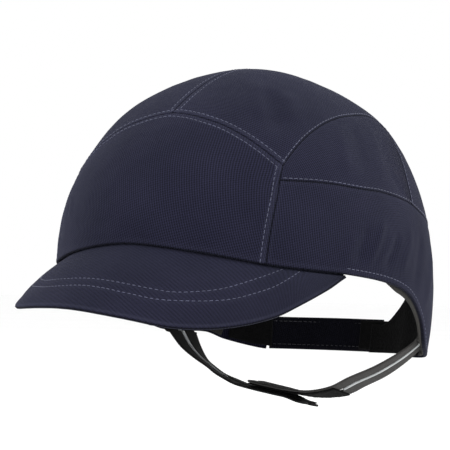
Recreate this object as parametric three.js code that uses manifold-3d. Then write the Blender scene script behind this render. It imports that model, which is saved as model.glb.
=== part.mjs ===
// A bump cap: a short-peaked cotton cap worn over a hard inner shell with foam pads, closed at
// the rear by a hook-and-loop band and under the nape by a two-piece reflective strap.
//
// Millimetres, +Z up. The front is towards -Y and the wearer's left is towards +X.
// The origin is the centre of the head opening, at the height of the brow.
import * as THREE from 'three';
import { mergeVertices } from 'three/addons/utils/BufferGeometryUtils.js';
import Module from 'manifold-3d';

const RAD = Math.PI / 180;

// ---- Driving dimensions -------------------------------------------------------------------

// Outer form of the crown
const HALF_WIDTH = 97;
const FRONT_REACH = 110.5;
const BACK_REACH = 112;
const CROWN_TOP = 94.6;
const GIRTH_FRONT = -13.6; // height of the widest line of the crown, at the front
const GIRTH_BACK = -26.2;
const WALL_DROP = 170; // mm of wall below the widest line, for each unit of disc radius
const WALL_TAPER = 0.8;
const FRONT_CONE = 0.354; // how far the forehead leans back, and how far the rear stays full
const BACK_CONE = -0.396;
const FRONT_SHOULDER = 0.073; // extra fullness half way up
const BACK_SHOULDER = 0.039;

// Seams, as [bearing in degrees from the front, height] on the wearer's left
const RIM = [[0, -3], [22, -6.5], [45, -12.5], [68, -16], [84, -20], [94, -26], [103, -38],
  [110, -51.5], [118, -57], [135, -59.5], [180, -60.5]];
// The rim on the wearer's right, where the worn tail hangs higher
const RIGHT_RIM = [...RIM.slice(0, 6), [103, -37], [110, -46], [118, -49], [129, -49.2],
  [135, -53], [143, -56.5], [150, -58.5], [180, -60.5]];
const FRONT_SEAM = [[0, 64.8], [16, 61.7], [25.7, 58.1], [33.7, 52.9], [41, 45.7], [47.5, 37]];
const TEMPLE_SEAM = [[42, -12.1], [43.2, 4.7], [45.2, 21], [46.2, 29.9], [47.5, 37]];
const ARCH_SEAM = [[47.5, 37], [55.7, 50.6], [66.7, 60.2], [77, 65], [92.7, 68.2], [108, 68.6],
  [118, 66], [119.5, 60], [113.5, 51], [108, 39], [102.5, 22.4]];
const SIDE_SEAM = [[46.2, 29.9], [60, 29.7], [74.7, 27.8], [84, 27.2], [95, 24.9],
  [101.5, 22.9], [109.3, 18.7], [122.7, 13.4], [136, 8], [148, 3.5]];
const TAIL_END = [[150, -60], [150.5, -50], [149.5, -42], [145, -34], [142.5, -22],
  [143.5, -8], [148, 3.5]];
const RIGHT_TAIL_FOOT = -58.5; // the right tail's corner, where its rim ends
const REAR_ARCH = [[148, 3.5], [156, 9.5], [167, 13], [180, 14]];
const OPENING_CORNER = [143.5, -8]; // where the tape of the rear opening starts on the tail
const TEMPLE_FORK = SIDE_SEAM[0][0];
const SIDE_SEAM_END = 148;
const ARCH_FOOT = 102.5; // bearing where the arch seam comes down to the side seam
const ARCH_SHARE = 0.7; // of the crown panel's lower edge

// Rough width and height of each panel, which turn the gap at its seams into shares
const FRONT_PANEL_SIZE = [120, 75];
const CROWN_PANEL_SIZE = [200, 85];
const UPPER_SIDE_SIZE = [60, 35];
const LOWER_SIDE_SIZE = [190, 60];

// Layers, as depths below the outer face of the fabric
const FABRIC = [0, 1];
const TAPE = [1.5, 2.5];
const SHELL = [1.7, 3.9];
const PAD = [4.7, 9.7];
const SEAM_GAP = 0.25;
const ARCH_GAP = 0.5; // wider, because the arch bends sharply

// Tapes: up inside the hem and proud below it, and round the rear opening
const HEM_TAPE_BEARINGS = [80, 134];
const HEM_TAPE_EDGES = [-9.5, 2.5];
const OPENING_TAPE_EDGES = [-1, 8];

// Peak
const PEAK_ROOT_END = 66; // bearing where the peak dies into the hem
// Its edge from the wearer's right to left; the worn peak is lower on the left
const PEAK_EDGE = [[-90.2, -47, -15.6], [-88.6, -59.7, -16.5], [-86.5, -73, -22.3],
  [-82.6, -86, -28.2], [-76.6, -98, -32.2], [-65.5, -115.5, -35.2], [-50, -132, -35.8],
  [-25, -145.5, -34.9], [0, -150, -35.4], [25, -146, -38.7], [50, -133.5, -43.2],
  [67, -117, -42.3], [79, -97, -37.5], [85.6, -78, -29.7], [88.9, -60, -22.2],
  [89.8, -47.5, -16.6]];
const PEAK_EDGE_SHARE = 0.55; // the layers are this much thinner at the edge than at the root
const PEAK_CAMBER = 3;
const PEAK_ROOT_DEPTH = 2;
const PEAK_ROOT_DROP = 0.5;
const BOARD_INSETS = [0.03, 0.04]; // shares of the peak's width and depth
const PEAK_TOP_COVER = [0, 1];
const PEAK_BOARD = [1.5, 2.9];
const PEAK_UNDER_COVER = [3.6, 4.4];

// Shell rim, vents and pads
const SHELL_RIM = [[0, 10], [45, 2], [70, -1], [95, 2], [135, 14], [180, 28]];
const VENTS = [[44, 56], [128, 48], [50, 24], [136, 26]];
const VENT_RADIUS = 5;
const SIDE_PADS = [
  ['pad_front', -32, 32, 32, 62],
  ['pad_left', 60, 116, 32, 60],
  ['pad_right', -116, -60, 32, 60],
  ['pad_rear', 152, 208, 36, 62],
];
const CROWN_PAD_RADIUS = 0.3;

// Sweatband
const SWEATBAND_THICKNESS = 2;
const SWEATBAND_END = 93;
const SWEATBAND_HEIGHT = 29;
const SWEATBAND_FOOT = 1; // above the rim
const SWEATBAND_FOOT_DEPTH = 2.9;
const SWEATBAND_EASE = 0.3; // share of its height in which it eases inwards to the pads' depth

// Rear closure
const BAND_HEIGHTS = [-58.5, -39.5];
const BAND_ENDS = [209, 164];
const BAND = [1.3, 2.7];
const HOOK_TAB_HEIGHTS = [-57.5, -40.5];
const HOOK_TAB_ENDS = [174, 152];
const HOOK_TAB = [3.1, 4.1];
const LOOP_TAB_TOP = [[137, -18], [146, -23], [153, -32.5], [161, -42], [168, -42.5]];
const FACING_TOP = [[137, -16], [146, -24], [152, -41]];
const FACING_FOOT = [[137, -58.8], [168, -59.3]];
const RIGHT_FACING_FOOT = [[137, -52.8], [144, -55.6], [152, -57.5]];
const FACING_THICKNESS = 1;
const FACING_EASE_BEARINGS = [138, 149];
const LOOP_TAB_EASE = 3; // how far each facing moves inwards, to leave room for the layers over it
const REAR_FACING_EASE = 1.9;

// Nape strap
const STRAP_Y = 52;
const STRAP_WIDTH = 20;
const STRAP_THICKNESS = 1.3;
const PIPING_RADIUS = 1;
const PIPING_GAP = 0.4;
// The hanging line of each half: distance in x from the lowest point, and height
const STRAP_LOW_X = 10;
const LEFT_LINE = [[0, -80.8], [18, -78.6], [30, -73.1], [43, -67.4], [52, -62.4], [60, -57.2],
  [68.5, -50.6]];
const RIGHT_LINE = [[0, -80.8], [12, -79.7], [22, -78.2], [34, -76.3], [44.5, -74.3],
  [52, -71.8], [59, -69.2], [65, -65.7], [72, -61.4], [79, -55], [85, -46.5]];
// How far the webbing turns across its line, in degrees at the same distances
const LEFT_YAW = [[0, 0], [35, 6], [68, 26]];
const RIGHT_YAW = [[0, 0], [45, 4], [60, 16], [70, 14], [80, -10], [86, -26]];
// How much higher its front edge hangs than its rear one, in degrees
const LEFT_ROLL = [[0, 8], [25, 15], [68.5, 14]];
const RIGHT_ROLL = [[0, 8], [20, 4], [86, 4]];
const LEFT_TOP_X = 77.5;
const RIGHT_TOP_X = -75;
const LEFT_END_X = -26;
const RIGHT_END_X = 10;
const LOOP_PATCH_X = [30, LEFT_END_X];
const HOOK_PATCH_X = [-24, RIGHT_END_X];
const LEFT_PIPING_END_X = 31;
const RIGHT_PIPING_END_X = -44;
const PATCH_THICKNESS = 0.8;
const PATCH_GAP = 0.3;
const ANCHOR_BEARINGS = [112.5, 125.5];
const ANCHOR_HEIGHTS = [-46, -27.5];
const ANCHOR = [2.9, 4.2];

// ---- The crown surface --------------------------------------------------------------------
// A point of the crown is named by two disc coordinates (p, q): the apex is the centre of the
// disc, the widest line is its unit circle, and the front lies towards -q.

function girthHeight(front) {
  return GIRTH_BACK + (GIRTH_FRONT - GIRTH_BACK) * (1 + front) / 2;
}

function crownPoint(p, q) {
  const radius = Math.hypot(p, q);
  const front = radius > 0 ? -q / radius : 1;
  const side = radius > 0 ? p / radius : 0;
  const rise = Math.max(1 - radius, 0);
  const drop = Math.max(radius - 1, 0);
  const isFront = front > 0;
  const cone = (isFront ? FRONT_CONE : BACK_CONE) * front * front;
  const shoulder = (isFront ? FRONT_SHOULDER : BACK_SHOULDER) * front * front;
  const bulge = 1 + shoulder * 16 * (rise * (1 - rise)) ** 2;
  const arc = rise * Math.PI / 2;
  const lean = Math.cos(arc) ** (1 + cone * (1 - rise ** 3));
  const spread = lean * bulge - WALL_TAPER * drop * drop;
  const girth = girthHeight(front);
  const height = girth + (CROWN_TOP - girth) * Math.sin(arc) - WALL_DROP * drop;
  const reach = isFront ? FRONT_REACH : BACK_REACH;
  return new THREE.Vector3(HALF_WIDTH * side * spread, -reach * front * spread, height);
}

function crownNormal(p, q) {
  const step = 1e-3;
  const sideways = crownPoint(p + step, q).sub(crownPoint(p - step, q));
  const backwards = crownPoint(p, q + step).sub(crownPoint(p, q - step));
  return sideways.cross(backwards).normalize();
}

function belowCrown(place, depth) {
  return crownPoint(place.x, place.y).addScaledVector(crownNormal(place.x, place.y), -depth);
}

// Disc coordinates of a bearing in degrees and a height
function disc(bearing, height) {
  const front = Math.cos(bearing * RAD);
  const girth = girthHeight(front);
  const above = Math.asin(Math.min((height - girth) / (CROWN_TOP - girth), 1)) * 2 / Math.PI;
  const radius = height > girth ? 1 - above : 1 + (girth - height) / WALL_DROP;
  return new THREE.Vector2(radius * Math.sin(bearing * RAD), -radius * front);
}

// Disc coordinates of the point of the crown level with a point near it
function discNear(point) {
  const reach = point.y < 0 ? FRONT_REACH : BACK_REACH;
  return disc(Math.atan2(point.x / HALF_WIDTH, -point.y / reach) / RAD, point.z);
}

// ---- Curves on the crown ------------------------------------------------------------------

// A smooth height for any bearing, through the points of a seam
function heightAt(points, bearing) {
  const angle = Math.abs(bearing > 180 ? bearing - 360 : bearing);
  const last = points.length - 2;
  const found = points.findIndex((point, i) => i > 0 && angle <= point[0]) - 1;
  const i = found < 0 ? last : found;
  const slope = (a, b) => (points[b][1] - points[a][1]) / (points[b][0] - points[a][0]);
  const span = points[i + 1][0] - points[i][0];
  const startSlope = i > 0 ? slope(i - 1, i + 1) : 0;
  const endSlope = i < last ? slope(i, i + 2) : slope(i, i + 1);
  const t = THREE.MathUtils.clamp((angle - points[i][0]) / span, 0, 1);
  const ease = t * t * (3 - 2 * t);
  const curve = t * (1 - t) * span * ((1 - t) * startSlope - t * endSlope);
  return THREE.MathUtils.lerp(points[i][1], points[i + 1][1], ease) + curve;
}

// A seam drawn through its points, as a function of the fraction of its length
function seam(points) {
  const curve = new THREE.SplineCurve(points.map(([bearing, height]) => disc(bearing, height)));
  return (fraction) => curve.getPointAt(fraction);
}

// A line that follows a height rule between two bearings
function along(from, to, heightOf) {
  return (fraction) => {
    const bearing = THREE.MathUtils.lerp(from, to, fraction);
    return disc(bearing, heightOf(bearing));
  };
}

// Two lines end to end, the first taking the given share of the whole
function joined(first, second, share) {
  return (fraction) => (fraction < share ? first(fraction / share)
    : second((fraction - share) / (1 - share)));
}

function straight(from, to) {
  return (fraction) => from.clone().lerp(to, fraction);
}

function flipped(line) {
  return (fraction) => {
    const place = line(fraction);
    return new THREE.Vector2(-place.x, place.y);
  };
}

function reversed(line) {
  return (fraction) => line(1 - fraction);
}

// The piece of cloth inside four seams: s runs from start to end, t from bottom to top
function cut(bottom, top, start, end) {
  const corners = [bottom(0), bottom(1), top(0), top(1)];
  return (s, t) => {
    const place = new THREE.Vector2();
    place.addScaledVector(bottom(s), 1 - t).addScaledVector(top(s), t);
    place.addScaledVector(start(t), 1 - s).addScaledVector(end(t), s);
    place.addScaledVector(corners[0], -(1 - s) * (1 - t)).addScaledVector(corners[1], -s * (1 - t));
    place.addScaledVector(corners[2], -(1 - s) * t).addScaledVector(corners[3], -s * t);
    return place;
  };
}

// ---- Solids -------------------------------------------------------------------------------

function signedVolume(points, triangles) {
  let volume = 0;
  for (let i = 0; i < triangles.length; i += 3) {
    const [a, b, c] = [points[triangles[i]], points[triangles[i + 1]], points[triangles[i + 2]]];
    volume += a.dot(b.clone().cross(c));
  }
  return volume;
}

function solidFrom(points, triangles) {
  if (signedVolume(points, triangles) < 0) triangles.reverse();
  const geometry = new THREE.BufferGeometry().setFromPoints(points);
  geometry.setIndex(triangles);
  return geometry;
}

function addQuad(triangles, a, b, c, d) {
  triangles.push(a, b, c, a, c, d);
}

// A closed plate: pointAt(s, t, face) gives its outer face (0) and its inner face (1)
function plate(columns, rows, pointAt) {
  const points = [];
  const triangles = [];
  const index = (i, j, face) => face * (columns + 1) * (rows + 1) + j * (columns + 1) + i;
  for (const face of [0, 1]) {
    for (let j = 0; j <= rows; j += 1) {
      for (let i = 0; i <= columns; i += 1) points.push(pointAt(i / columns, j / rows, face));
    }
  }
  for (let i = 0; i < columns; i += 1) {
    for (let j = 0; j < rows; j += 1) {
      for (const face of [0, 1]) {
        const quad = [index(i, j, face), index(i + 1, j, face),
          index(i + 1, j + 1, face), index(i, j + 1, face)];
        if (face === 1) quad.reverse();
        addQuad(triangles, ...quad);
      }
    }
    addQuad(triangles, index(i, 0, 0), index(i, 0, 1), index(i + 1, 0, 1), index(i + 1, 0, 0));
    addQuad(triangles, index(i + 1, rows, 0), index(i + 1, rows, 1),
      index(i, rows, 1), index(i, rows, 0));
  }
  for (let j = 0; j < rows; j += 1) {
    addQuad(triangles, index(0, j + 1, 0), index(0, j + 1, 1), index(0, j, 1), index(0, j, 0));
    addQuad(triangles, index(columns, j, 0), index(columns, j, 1),
      index(columns, j + 1, 1), index(columns, j + 1, 0));
  }
  return solidFrom(points, triangles);
}

// A plate that lies on the crown, held back from its seams by the given shares of its size
function crownPlate(map, columns, rows, depths, insetS = 0, insetT = 0) {
  return plate(columns, rows, (s, t, face) => {
    const place = map(insetS + s * (1 - 2 * insetS), insetT + t * (1 - 2 * insetT));
    const depth = typeof depths === 'function' ? depths(s, t)[face] : depths[face];
    return belowCrown(place, depth);
  });
}

// A closed dome round the apex, out to a disc radius that may change with the bearing
function dome(radiusAt, sectors, rings, depths) {
  const points = [];
  const triangles = [];
  const perFace = 1 + sectors * rings;
  const index = (i, j, face) => face * perFace + (j === 0 ? 0
    : 1 + (j - 1) * sectors + (i % sectors));
  for (const depth of depths) {
    points.push(belowCrown(new THREE.Vector2(), depth));
    for (let j = 1; j <= rings; j += 1) {
      for (let i = 0; i < sectors; i += 1) {
        const bearing = i / sectors * 360;
        const radius = radiusAt(bearing) * j / rings;
        const place = new THREE.Vector2(Math.sin(bearing * RAD), -Math.cos(bearing * RAD));
        points.push(belowCrown(place.multiplyScalar(radius), depth));
      }
    }
  }
  for (let i = 0; i < sectors; i += 1) {
    triangles.push(index(0, 0, 0), index(i, 1, 0), index(i + 1, 1, 0));
    triangles.push(index(0, 0, 1), index(i + 1, 1, 1), index(i, 1, 1));
    for (let j = 1; j < rings; j += 1) {
      addQuad(triangles, index(i, j, 0), index(i, j + 1, 0),
        index(i + 1, j + 1, 0), index(i + 1, j, 0));
      addQuad(triangles, index(i + 1, j, 1), index(i + 1, j + 1, 1),
        index(i, j + 1, 1), index(i, j, 1));
    }
    addQuad(triangles, index(i, rings, 0), index(i, rings, 1),
      index(i + 1, rings, 1), index(i + 1, rings, 0));
  }
  return solidFrom(points, triangles);
}

// ---- Boolean cuts -------------------------------------------------------------------------

const manifoldLibrary = await Module();
manifoldLibrary.setup();

function toManifold(geometry) {
  const bare = geometry.clone();
  bare.deleteAttribute('normal');
  bare.deleteAttribute('uv');
  const merged = mergeVertices(bare, 1e-4);
  return new manifoldLibrary.Manifold(new manifoldLibrary.Mesh({
    numProp: 3,
    vertProperties: new Float32Array(merged.attributes.position.array),
    triVerts: new Uint32Array(merged.index.array),
  }));
}

function fromManifold(solid) {
  const mesh = solid.getMesh();
  const geometry = new THREE.BufferGeometry();
  geometry.setAttribute('position', new THREE.BufferAttribute(mesh.vertProperties, 3));
  geometry.setIndex(new THREE.BufferAttribute(mesh.triVerts, 1));
  return geometry;
}

// ---- Materials ----------------------------------------------------------------------------

function material(color, roughness) {
  return new THREE.MeshStandardMaterial({ color, roughness, metalness: 0 });
}

const navyTwill = material(0x272a3f, 0.85);
const innerTwill = material(0x20222f, 0.9);
const blackFacing = material(0x141416, 0.95);
const greyTape = material(0x6d6c6c, 0.85);
const strapWebbing = material(0x6a6967, 0.85);
const reflectivePiping = material(0xd8dadb, 0.4);
const boardPlastic = material(0x3a3c42, 0.6);
const shellPlastic = material(0x2b2d31, 0.45);
const foam = material(0x35373c, 0.95);
const towelling = material(0x23252c, 0.95);

const cap = new THREE.Group();

function add(name, geometry, surface) {
  const mesh = new THREE.Mesh(geometry, surface);
  mesh.name = name;
  cap.add(mesh);
}

// Adds a piece and its mirror image on the wearer's right
function addPair(name, build, surface) {
  add(`${name}_left`, build((line) => line), surface);
  add(`${name}_right`, build(flipped), surface);
}

// ---- Fabric panels ------------------------------------------------------------------------

const rimHeight = (bearing) => heightAt(bearing < 0 ? RIGHT_RIM : RIM, bearing);
const rightRimHeight = (bearing) => rimHeight(-bearing);
const sideHeight = (bearing) => heightAt(SIDE_SEAM, bearing);

const templeSeam = seam(TEMPLE_SEAM);
const archSeam = seam(ARCH_SEAM);
const rearArch = seam(REAR_ARCH);
const frontSeamHalf = seam(FRONT_SEAM);
const apexSeam = straight(frontSeamHalf(0), rearArch(1));

function panelPlate(map, columns, rows, [width, height], gap = SEAM_GAP) {
  return crownPlate(map, columns, rows, FABRIC, SEAM_GAP / width, gap / height);
}
function addFrontPanel() {
  const bottom = along(-TEMPLE_SEAM[0][0], TEMPLE_SEAM[0][0], rimHeight);
  const top = joined(flipped(reversed(frontSeamHalf)), frontSeamHalf, 0.5);
  const map = cut(bottom, top, flipped(templeSeam), templeSeam);
  add('front_panel', panelPlate(map, 16, 9, FRONT_PANEL_SIZE), navyTwill);
}

function crownPanel(side) {
  const outer = joined(archSeam, along(ARCH_FOOT, SIDE_SEAM_END, sideHeight), ARCH_SHARE);
  const map = cut(side(outer), side(apexSeam), side(reversed(frontSeamHalf)), side(rearArch));
  return panelPlate(map, 20, 8, CROWN_PANEL_SIZE);
}

function upperSidePanel(side) {
  const bottom = along(TEMPLE_FORK, ARCH_FOOT - 1, sideHeight);
  const start = straight(bottom(0), archSeam(0));
  const end = straight(bottom(1), archSeam(1));
  const map = cut(side(bottom), side(archSeam), side(start), side(end));
  return panelPlate(map, 14, 5, UPPER_SIDE_SIZE, ARCH_GAP);
}

function lowerSidePanel(side) {
  const right = side === flipped;
  const bottom = along(TEMPLE_SEAM[0][0], TAIL_END[0][0], right ? rightRimHeight : rimHeight);
  const end = seam([[TAIL_END[0][0], right ? RIGHT_TAIL_FOOT : TAIL_END[0][1]],
    ...TAIL_END.slice(1)]);
  const top = along(TEMPLE_FORK, SIDE_SEAM_END, sideHeight);
  const front = seam(TEMPLE_SEAM.slice(0, -1));
  const map = cut(side(bottom), side(top), side(front), side(end));
  return panelPlate(map, 22, 8, LOWER_SIDE_SIZE);
}

// ---- Hem and opening tapes ----------------------------------------------------------------

// A point beside a line on the crown, the given distance to its right as it is followed
function beside(line, fraction, distance) {
  const step = 2e-3;
  const [before, after] = [Math.max(fraction - step, 0), Math.min(fraction + step, 1)];
  const place = line(fraction);
  const [back, ahead] = [line(before), line(after)];
  const direction = crownPoint(ahead.x, ahead.y).sub(crownPoint(back.x, back.y)).normalize();
  const across = direction.cross(crownNormal(place.x, place.y));
  return discNear(crownPoint(place.x, place.y).addScaledVector(across, distance));
}

function tapeAlong(line, columns, from, to, depths) {
  return crownPlate((s, t) => beside(line, s, THREE.MathUtils.lerp(from, to, t)), columns, 1,
    depths);
}

function addTapes() {
  const hem = along(...HEM_TAPE_BEARINGS, rimHeight);
  const [inside, proud] = HEM_TAPE_EDGES;
  add('hem_tape_left', tapeAlong(hem, 18, inside, proud, TAPE), greyTape);
  const rightHem = flipped(along(...HEM_TAPE_BEARINGS, rightRimHeight));
  add('hem_tape_right', tapeAlong(rightHem, 18, -proud, -inside, TAPE), greyTape);
  const half = seam([OPENING_CORNER, ...REAR_ARCH]);
  const opening = joined(half, flipped(reversed(half)), 0.5);
  add('rear_opening_tape', tapeAlong(opening, 18, ...OPENING_TAPE_EDGES, TAPE), innerTwill);
}

// ---- Peak ---------------------------------------------------------------------------------

const peakEdge = new THREE.CatmullRomCurve3(PEAK_EDGE.map((p) => new THREE.Vector3(...p)));

// The upper face of the peak: u from the wearer's right to left, w from the hem to the edge
function peakTop(u, w) {
  const bearing = THREE.MathUtils.lerp(-PEAK_ROOT_END, PEAK_ROOT_END, u);
  const root = belowCrown(disc(bearing, rimHeight(bearing) - PEAK_ROOT_DROP), PEAK_ROOT_DEPTH);
  const point = root.lerp(peakEdge.getPointAt(THREE.MathUtils.clamp(u, 0, 1)), w);
  point.z += PEAK_CAMBER * Math.sin(Math.PI * w) * Math.sin(Math.PI * u);
  return point;
}

function peakPoint(u, w, depth) {
  const step = 5e-3;
  const [left, right] = [Math.max(u - step, 0), Math.min(u + step, 1)];
  const across = peakTop(right, w).sub(peakTop(left, w));
  const outward = peakTop(u, w + step).sub(peakTop(u, w - step));
  const upward = outward.cross(across).normalize();
  const thin = THREE.MathUtils.lerp(1, PEAK_EDGE_SHARE, w * w);
  return peakTop(u, w).addScaledVector(upward, -depth * thin);
}

function peakLayer(depths, [insetU, insetW] = [0, 0]) {
  return plate(24, 4, (s, t, face) => peakPoint(insetU + s * (1 - 2 * insetU),
    insetW + t * (1 - 2 * insetW), depths[face]));
}

function addPeak() {
  add('peak_top_cover', peakLayer(PEAK_TOP_COVER), navyTwill);
  add('peak_board', peakLayer(PEAK_BOARD, BOARD_INSETS), boardPlastic);
  add('peak_under_cover', peakLayer(PEAK_UNDER_COVER), innerTwill);
}

// ---- Inner shell, pads and sweatband ------------------------------------------------------

function ventCutter(bearing, height) {
  const place = disc(bearing, height);
  const cutter = new THREE.CylinderGeometry(VENT_RADIUS, VENT_RADIUS, 16, 12);
  const toNormal = new THREE.Quaternion().setFromUnitVectors(new THREE.Vector3(0, 1, 0),
    crownNormal(place.x, place.y));
  const centre = belowCrown(place, SHELL[0]);
  cutter.applyMatrix4(new THREE.Matrix4().compose(centre, toNormal, new THREE.Vector3(1, 1, 1)));
  return toManifold(cutter);
}

function addShell() {
  const rimRadius = (bearing) => disc(bearing, heightAt(SHELL_RIM, bearing)).length();
  let shell = toManifold(dome(rimRadius, 40, 12, SHELL));
  for (const [bearing, height] of VENTS) {
    shell = shell.subtract(ventCutter(bearing, height));
    shell = shell.subtract(ventCutter(-bearing, height));
  }
  add('bump_shell', fromManifold(shell), shellPlastic);
}

function addPads() {
  for (const [name, from, to, low, high] of SIDE_PADS) {
    const map = (s, t) => disc(THREE.MathUtils.lerp(from, to, s),
      THREE.MathUtils.lerp(low, high, t));
    add(name, crownPlate(map, 9, 4, PAD), foam);
  }
  add('pad_crown', dome(() => CROWN_PAD_RADIUS, 16, 3, PAD), foam);
}

function addSweatband() {
  const map = (s, t) => {
    const bearing = THREE.MathUtils.lerp(-SWEATBAND_END, SWEATBAND_END, s);
    return disc(bearing, rimHeight(bearing) + SWEATBAND_FOOT + SWEATBAND_HEIGHT * t);
  };
  const depths = (s, t) => {
    const eased = THREE.MathUtils.smoothstep(t, 0, SWEATBAND_EASE);
    const outer = THREE.MathUtils.lerp(SWEATBAND_FOOT_DEPTH, PAD[0], eased);
    return [outer, outer + SWEATBAND_THICKNESS];
  };
  add('sweatband', crownPlate(map, 30, 6, depths), towelling);
}

// ---- Rear closure -------------------------------------------------------------------------

function bandPlate([from, to], [low, high], depths) {
  const map = (s, t) => disc(THREE.MathUtils.lerp(from, to, s),
    THREE.MathUtils.lerp(low, high, t));
  return crownPlate(map, 10, 1, depths);
}

// A facing inside a tail, easing inwards to leave room for the layers over its tip
function facing(foot, top, ease) {
  const [from, to] = [top[0][0], top[top.length - 1][0]];
  const bottom = along(from, to, (bearing) => heightAt(foot, bearing));
  const upper = along(from, to, (bearing) => heightAt(top, bearing));
  const depths = (s) => {
    const bearing = THREE.MathUtils.lerp(from, to, s);
    const eased = THREE.MathUtils.smoothstep(bearing, ...FACING_EASE_BEARINGS);
    const outer = TAPE[0] + ease * eased;
    return [outer, outer + FACING_THICKNESS];
  };
  return { map: (s, t) => bottom(s).lerp(upper(s), t), depths };
}

function addClosure() {
  const loopTab = facing(FACING_FOOT, LOOP_TAB_TOP, LOOP_TAB_EASE);
  add('closure_loop_tab', crownPlate(loopTab.map, 12, 3, loopTab.depths), blackFacing);
  const rearFacing = facing(RIGHT_FACING_FOOT, FACING_TOP, REAR_FACING_EASE);
  const mirroredMap = (s, t) => flipped(() => rearFacing.map(s, t))(0);
  add('tail_facing_right', crownPlate(mirroredMap, 8, 3, rearFacing.depths), blackFacing);
  add('closure_band', bandPlate(BAND_ENDS, BAND_HEIGHTS, BAND), innerTwill);
  add('closure_hook_tab', bandPlate(HOOK_TAB_ENDS, HOOK_TAB_HEIGHTS, HOOK_TAB), blackFacing);
}

// ---- Nape strap ---------------------------------------------------------------------------

const alongStrap = (left, right, x) => heightAt(x > STRAP_LOW_X ? left : right,
  Math.abs(x - STRAP_LOW_X));

// A point of the strap: x along it, w across it and h above its middle
function strapPoint(x, w, h) {
  const step = 0.5;
  const height = (at) => alongStrap(LEFT_LINE, RIGHT_LINE, at);
  const slope = (height(x + step) - height(x - step)) / (2 * step);
  const normal = new THREE.Vector3(-slope, 0, 1).normalize();
  const yaw = alongStrap(LEFT_YAW, RIGHT_YAW, x) * RAD;
  const across = new THREE.Vector3(-Math.sin(yaw), Math.cos(yaw), 0);
  const roll = alongStrap(LEFT_ROLL, RIGHT_ROLL, x) * RAD;
  const [lean, level] = [Math.sin(roll), Math.cos(roll)];
  return new THREE.Vector3(x, STRAP_Y, height(x))
    .addScaledVector(across, w * level + h * lean)
    .addScaledVector(normal, h * level - w * lean);
}

function strapPlate([fromX, toX], [fromW, toW], [low, high], columns) {
  return plate(columns, 1, (s, t, face) => strapPoint(THREE.MathUtils.lerp(fromX, toX, s),
    THREE.MathUtils.lerp(fromW, toW, t), face === 0 ? high : low));
}

// The reflective piping is a round bead sewn between the two strips of the strap
function pipingBead([fromX, toX], middle) {
  const sides = 8;
  const steps = 14;
  const points = [];
  const triangles = [];
  for (let i = 0; i <= steps; i += 1) {
    const x = THREE.MathUtils.lerp(fromX, toX, i / steps);
    for (let j = 0; j < sides; j += 1) {
      const angle = (j + 0.5) / sides * 2 * Math.PI;
      points.push(strapPoint(x, PIPING_RADIUS * Math.cos(angle),
        middle + PIPING_RADIUS * Math.sin(angle)));
    }
  }
  const index = (i, j) => i * sides + (j % sides);
  for (let i = 0; i < steps; i += 1) {
    for (let j = 0; j < sides; j += 1) {
      addQuad(triangles, index(i, j), index(i + 1, j), index(i + 1, j + 1), index(i, j + 1));
    }
  }
  for (let j = 1; j < sides - 1; j += 1) {
    triangles.push(index(0, 0), index(0, j), index(0, j + 1));
    triangles.push(index(steps, 0), index(steps, j + 1), index(steps, j));
  }
  return solidFrom(points, triangles);
}

// One half of the strap: two strips of webbing, with the piping between them as far as the patch
function addStrapHalf(side, span, pipingEnd, middle) {
  const half = STRAP_WIDTH / 2;
  const inner = PIPING_RADIUS + PIPING_GAP;
  const heights = [middle - STRAP_THICKNESS / 2, middle + STRAP_THICKNESS / 2];
  add(`nape_strap_${side}_front_strip`, strapPlate(span, [-half, -inner], heights, 16),
    strapWebbing);
  add(`nape_strap_${side}_rear_strip`, strapPlate(span, [inner, half], heights, 16),
    strapWebbing);
  add(`nape_strap_${side}_piping`, pipingBead([span[0], pipingEnd], middle),
    reflectivePiping);
}

function addNapeStrap() {
  const halfThick = STRAP_THICKNESS / 2;
  const loopTop = -halfThick - PATCH_GAP;
  const hookTop = loopTop - PATCH_THICKNESS - PATCH_GAP;
  const rightMiddle = hookTop - PATCH_THICKNESS - PATCH_GAP - halfThick;
  const patchWidth = [-STRAP_WIDTH / 2 + 1, STRAP_WIDTH / 2 - 1];
  addStrapHalf('left', [LEFT_TOP_X, LEFT_END_X], LEFT_PIPING_END_X, 0);
  addStrapHalf('right', [RIGHT_TOP_X, RIGHT_END_X], RIGHT_PIPING_END_X, rightMiddle);
  add('nape_loop_patch', strapPlate(LOOP_PATCH_X, patchWidth,
    [loopTop - PATCH_THICKNESS, loopTop], 8), blackFacing);
  add('nape_hook_patch', strapPlate(HOOK_PATCH_X, patchWidth,
    [hookTop - PATCH_THICKNESS, hookTop], 5), blackFacing);
  const [from, to] = ANCHOR_BEARINGS;
  addPair('nape_strap_anchor', (side) => crownPlate((s, t) => side(() => disc(
    THREE.MathUtils.lerp(from, to, s), THREE.MathUtils.lerp(...ANCHOR_HEIGHTS, t)))(0),
  3, 2, ANCHOR), strapWebbing);
}

addFrontPanel();
addPair('crown_panel', crownPanel, navyTwill);
addPair('side_upper', upperSidePanel, navyTwill);
addPair('side_lower', lowerSidePanel, navyTwill);
addTapes();
addPeak();
addShell();
addPads();
addSweatband();
addClosure();
addNapeStrap();

export default cap;
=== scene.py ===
"""The looks of a bump cap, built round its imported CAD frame.

Blender works in metres. The surfaces below are worked out in millimetres, as the CAD part's
are, and turned into metres when a mesh is made. The front is towards -Y and the wearer's left
is towards +X.
"""
import math

import bpy
import numpy as np
from mathutils import Matrix, Vector, noise


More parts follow.
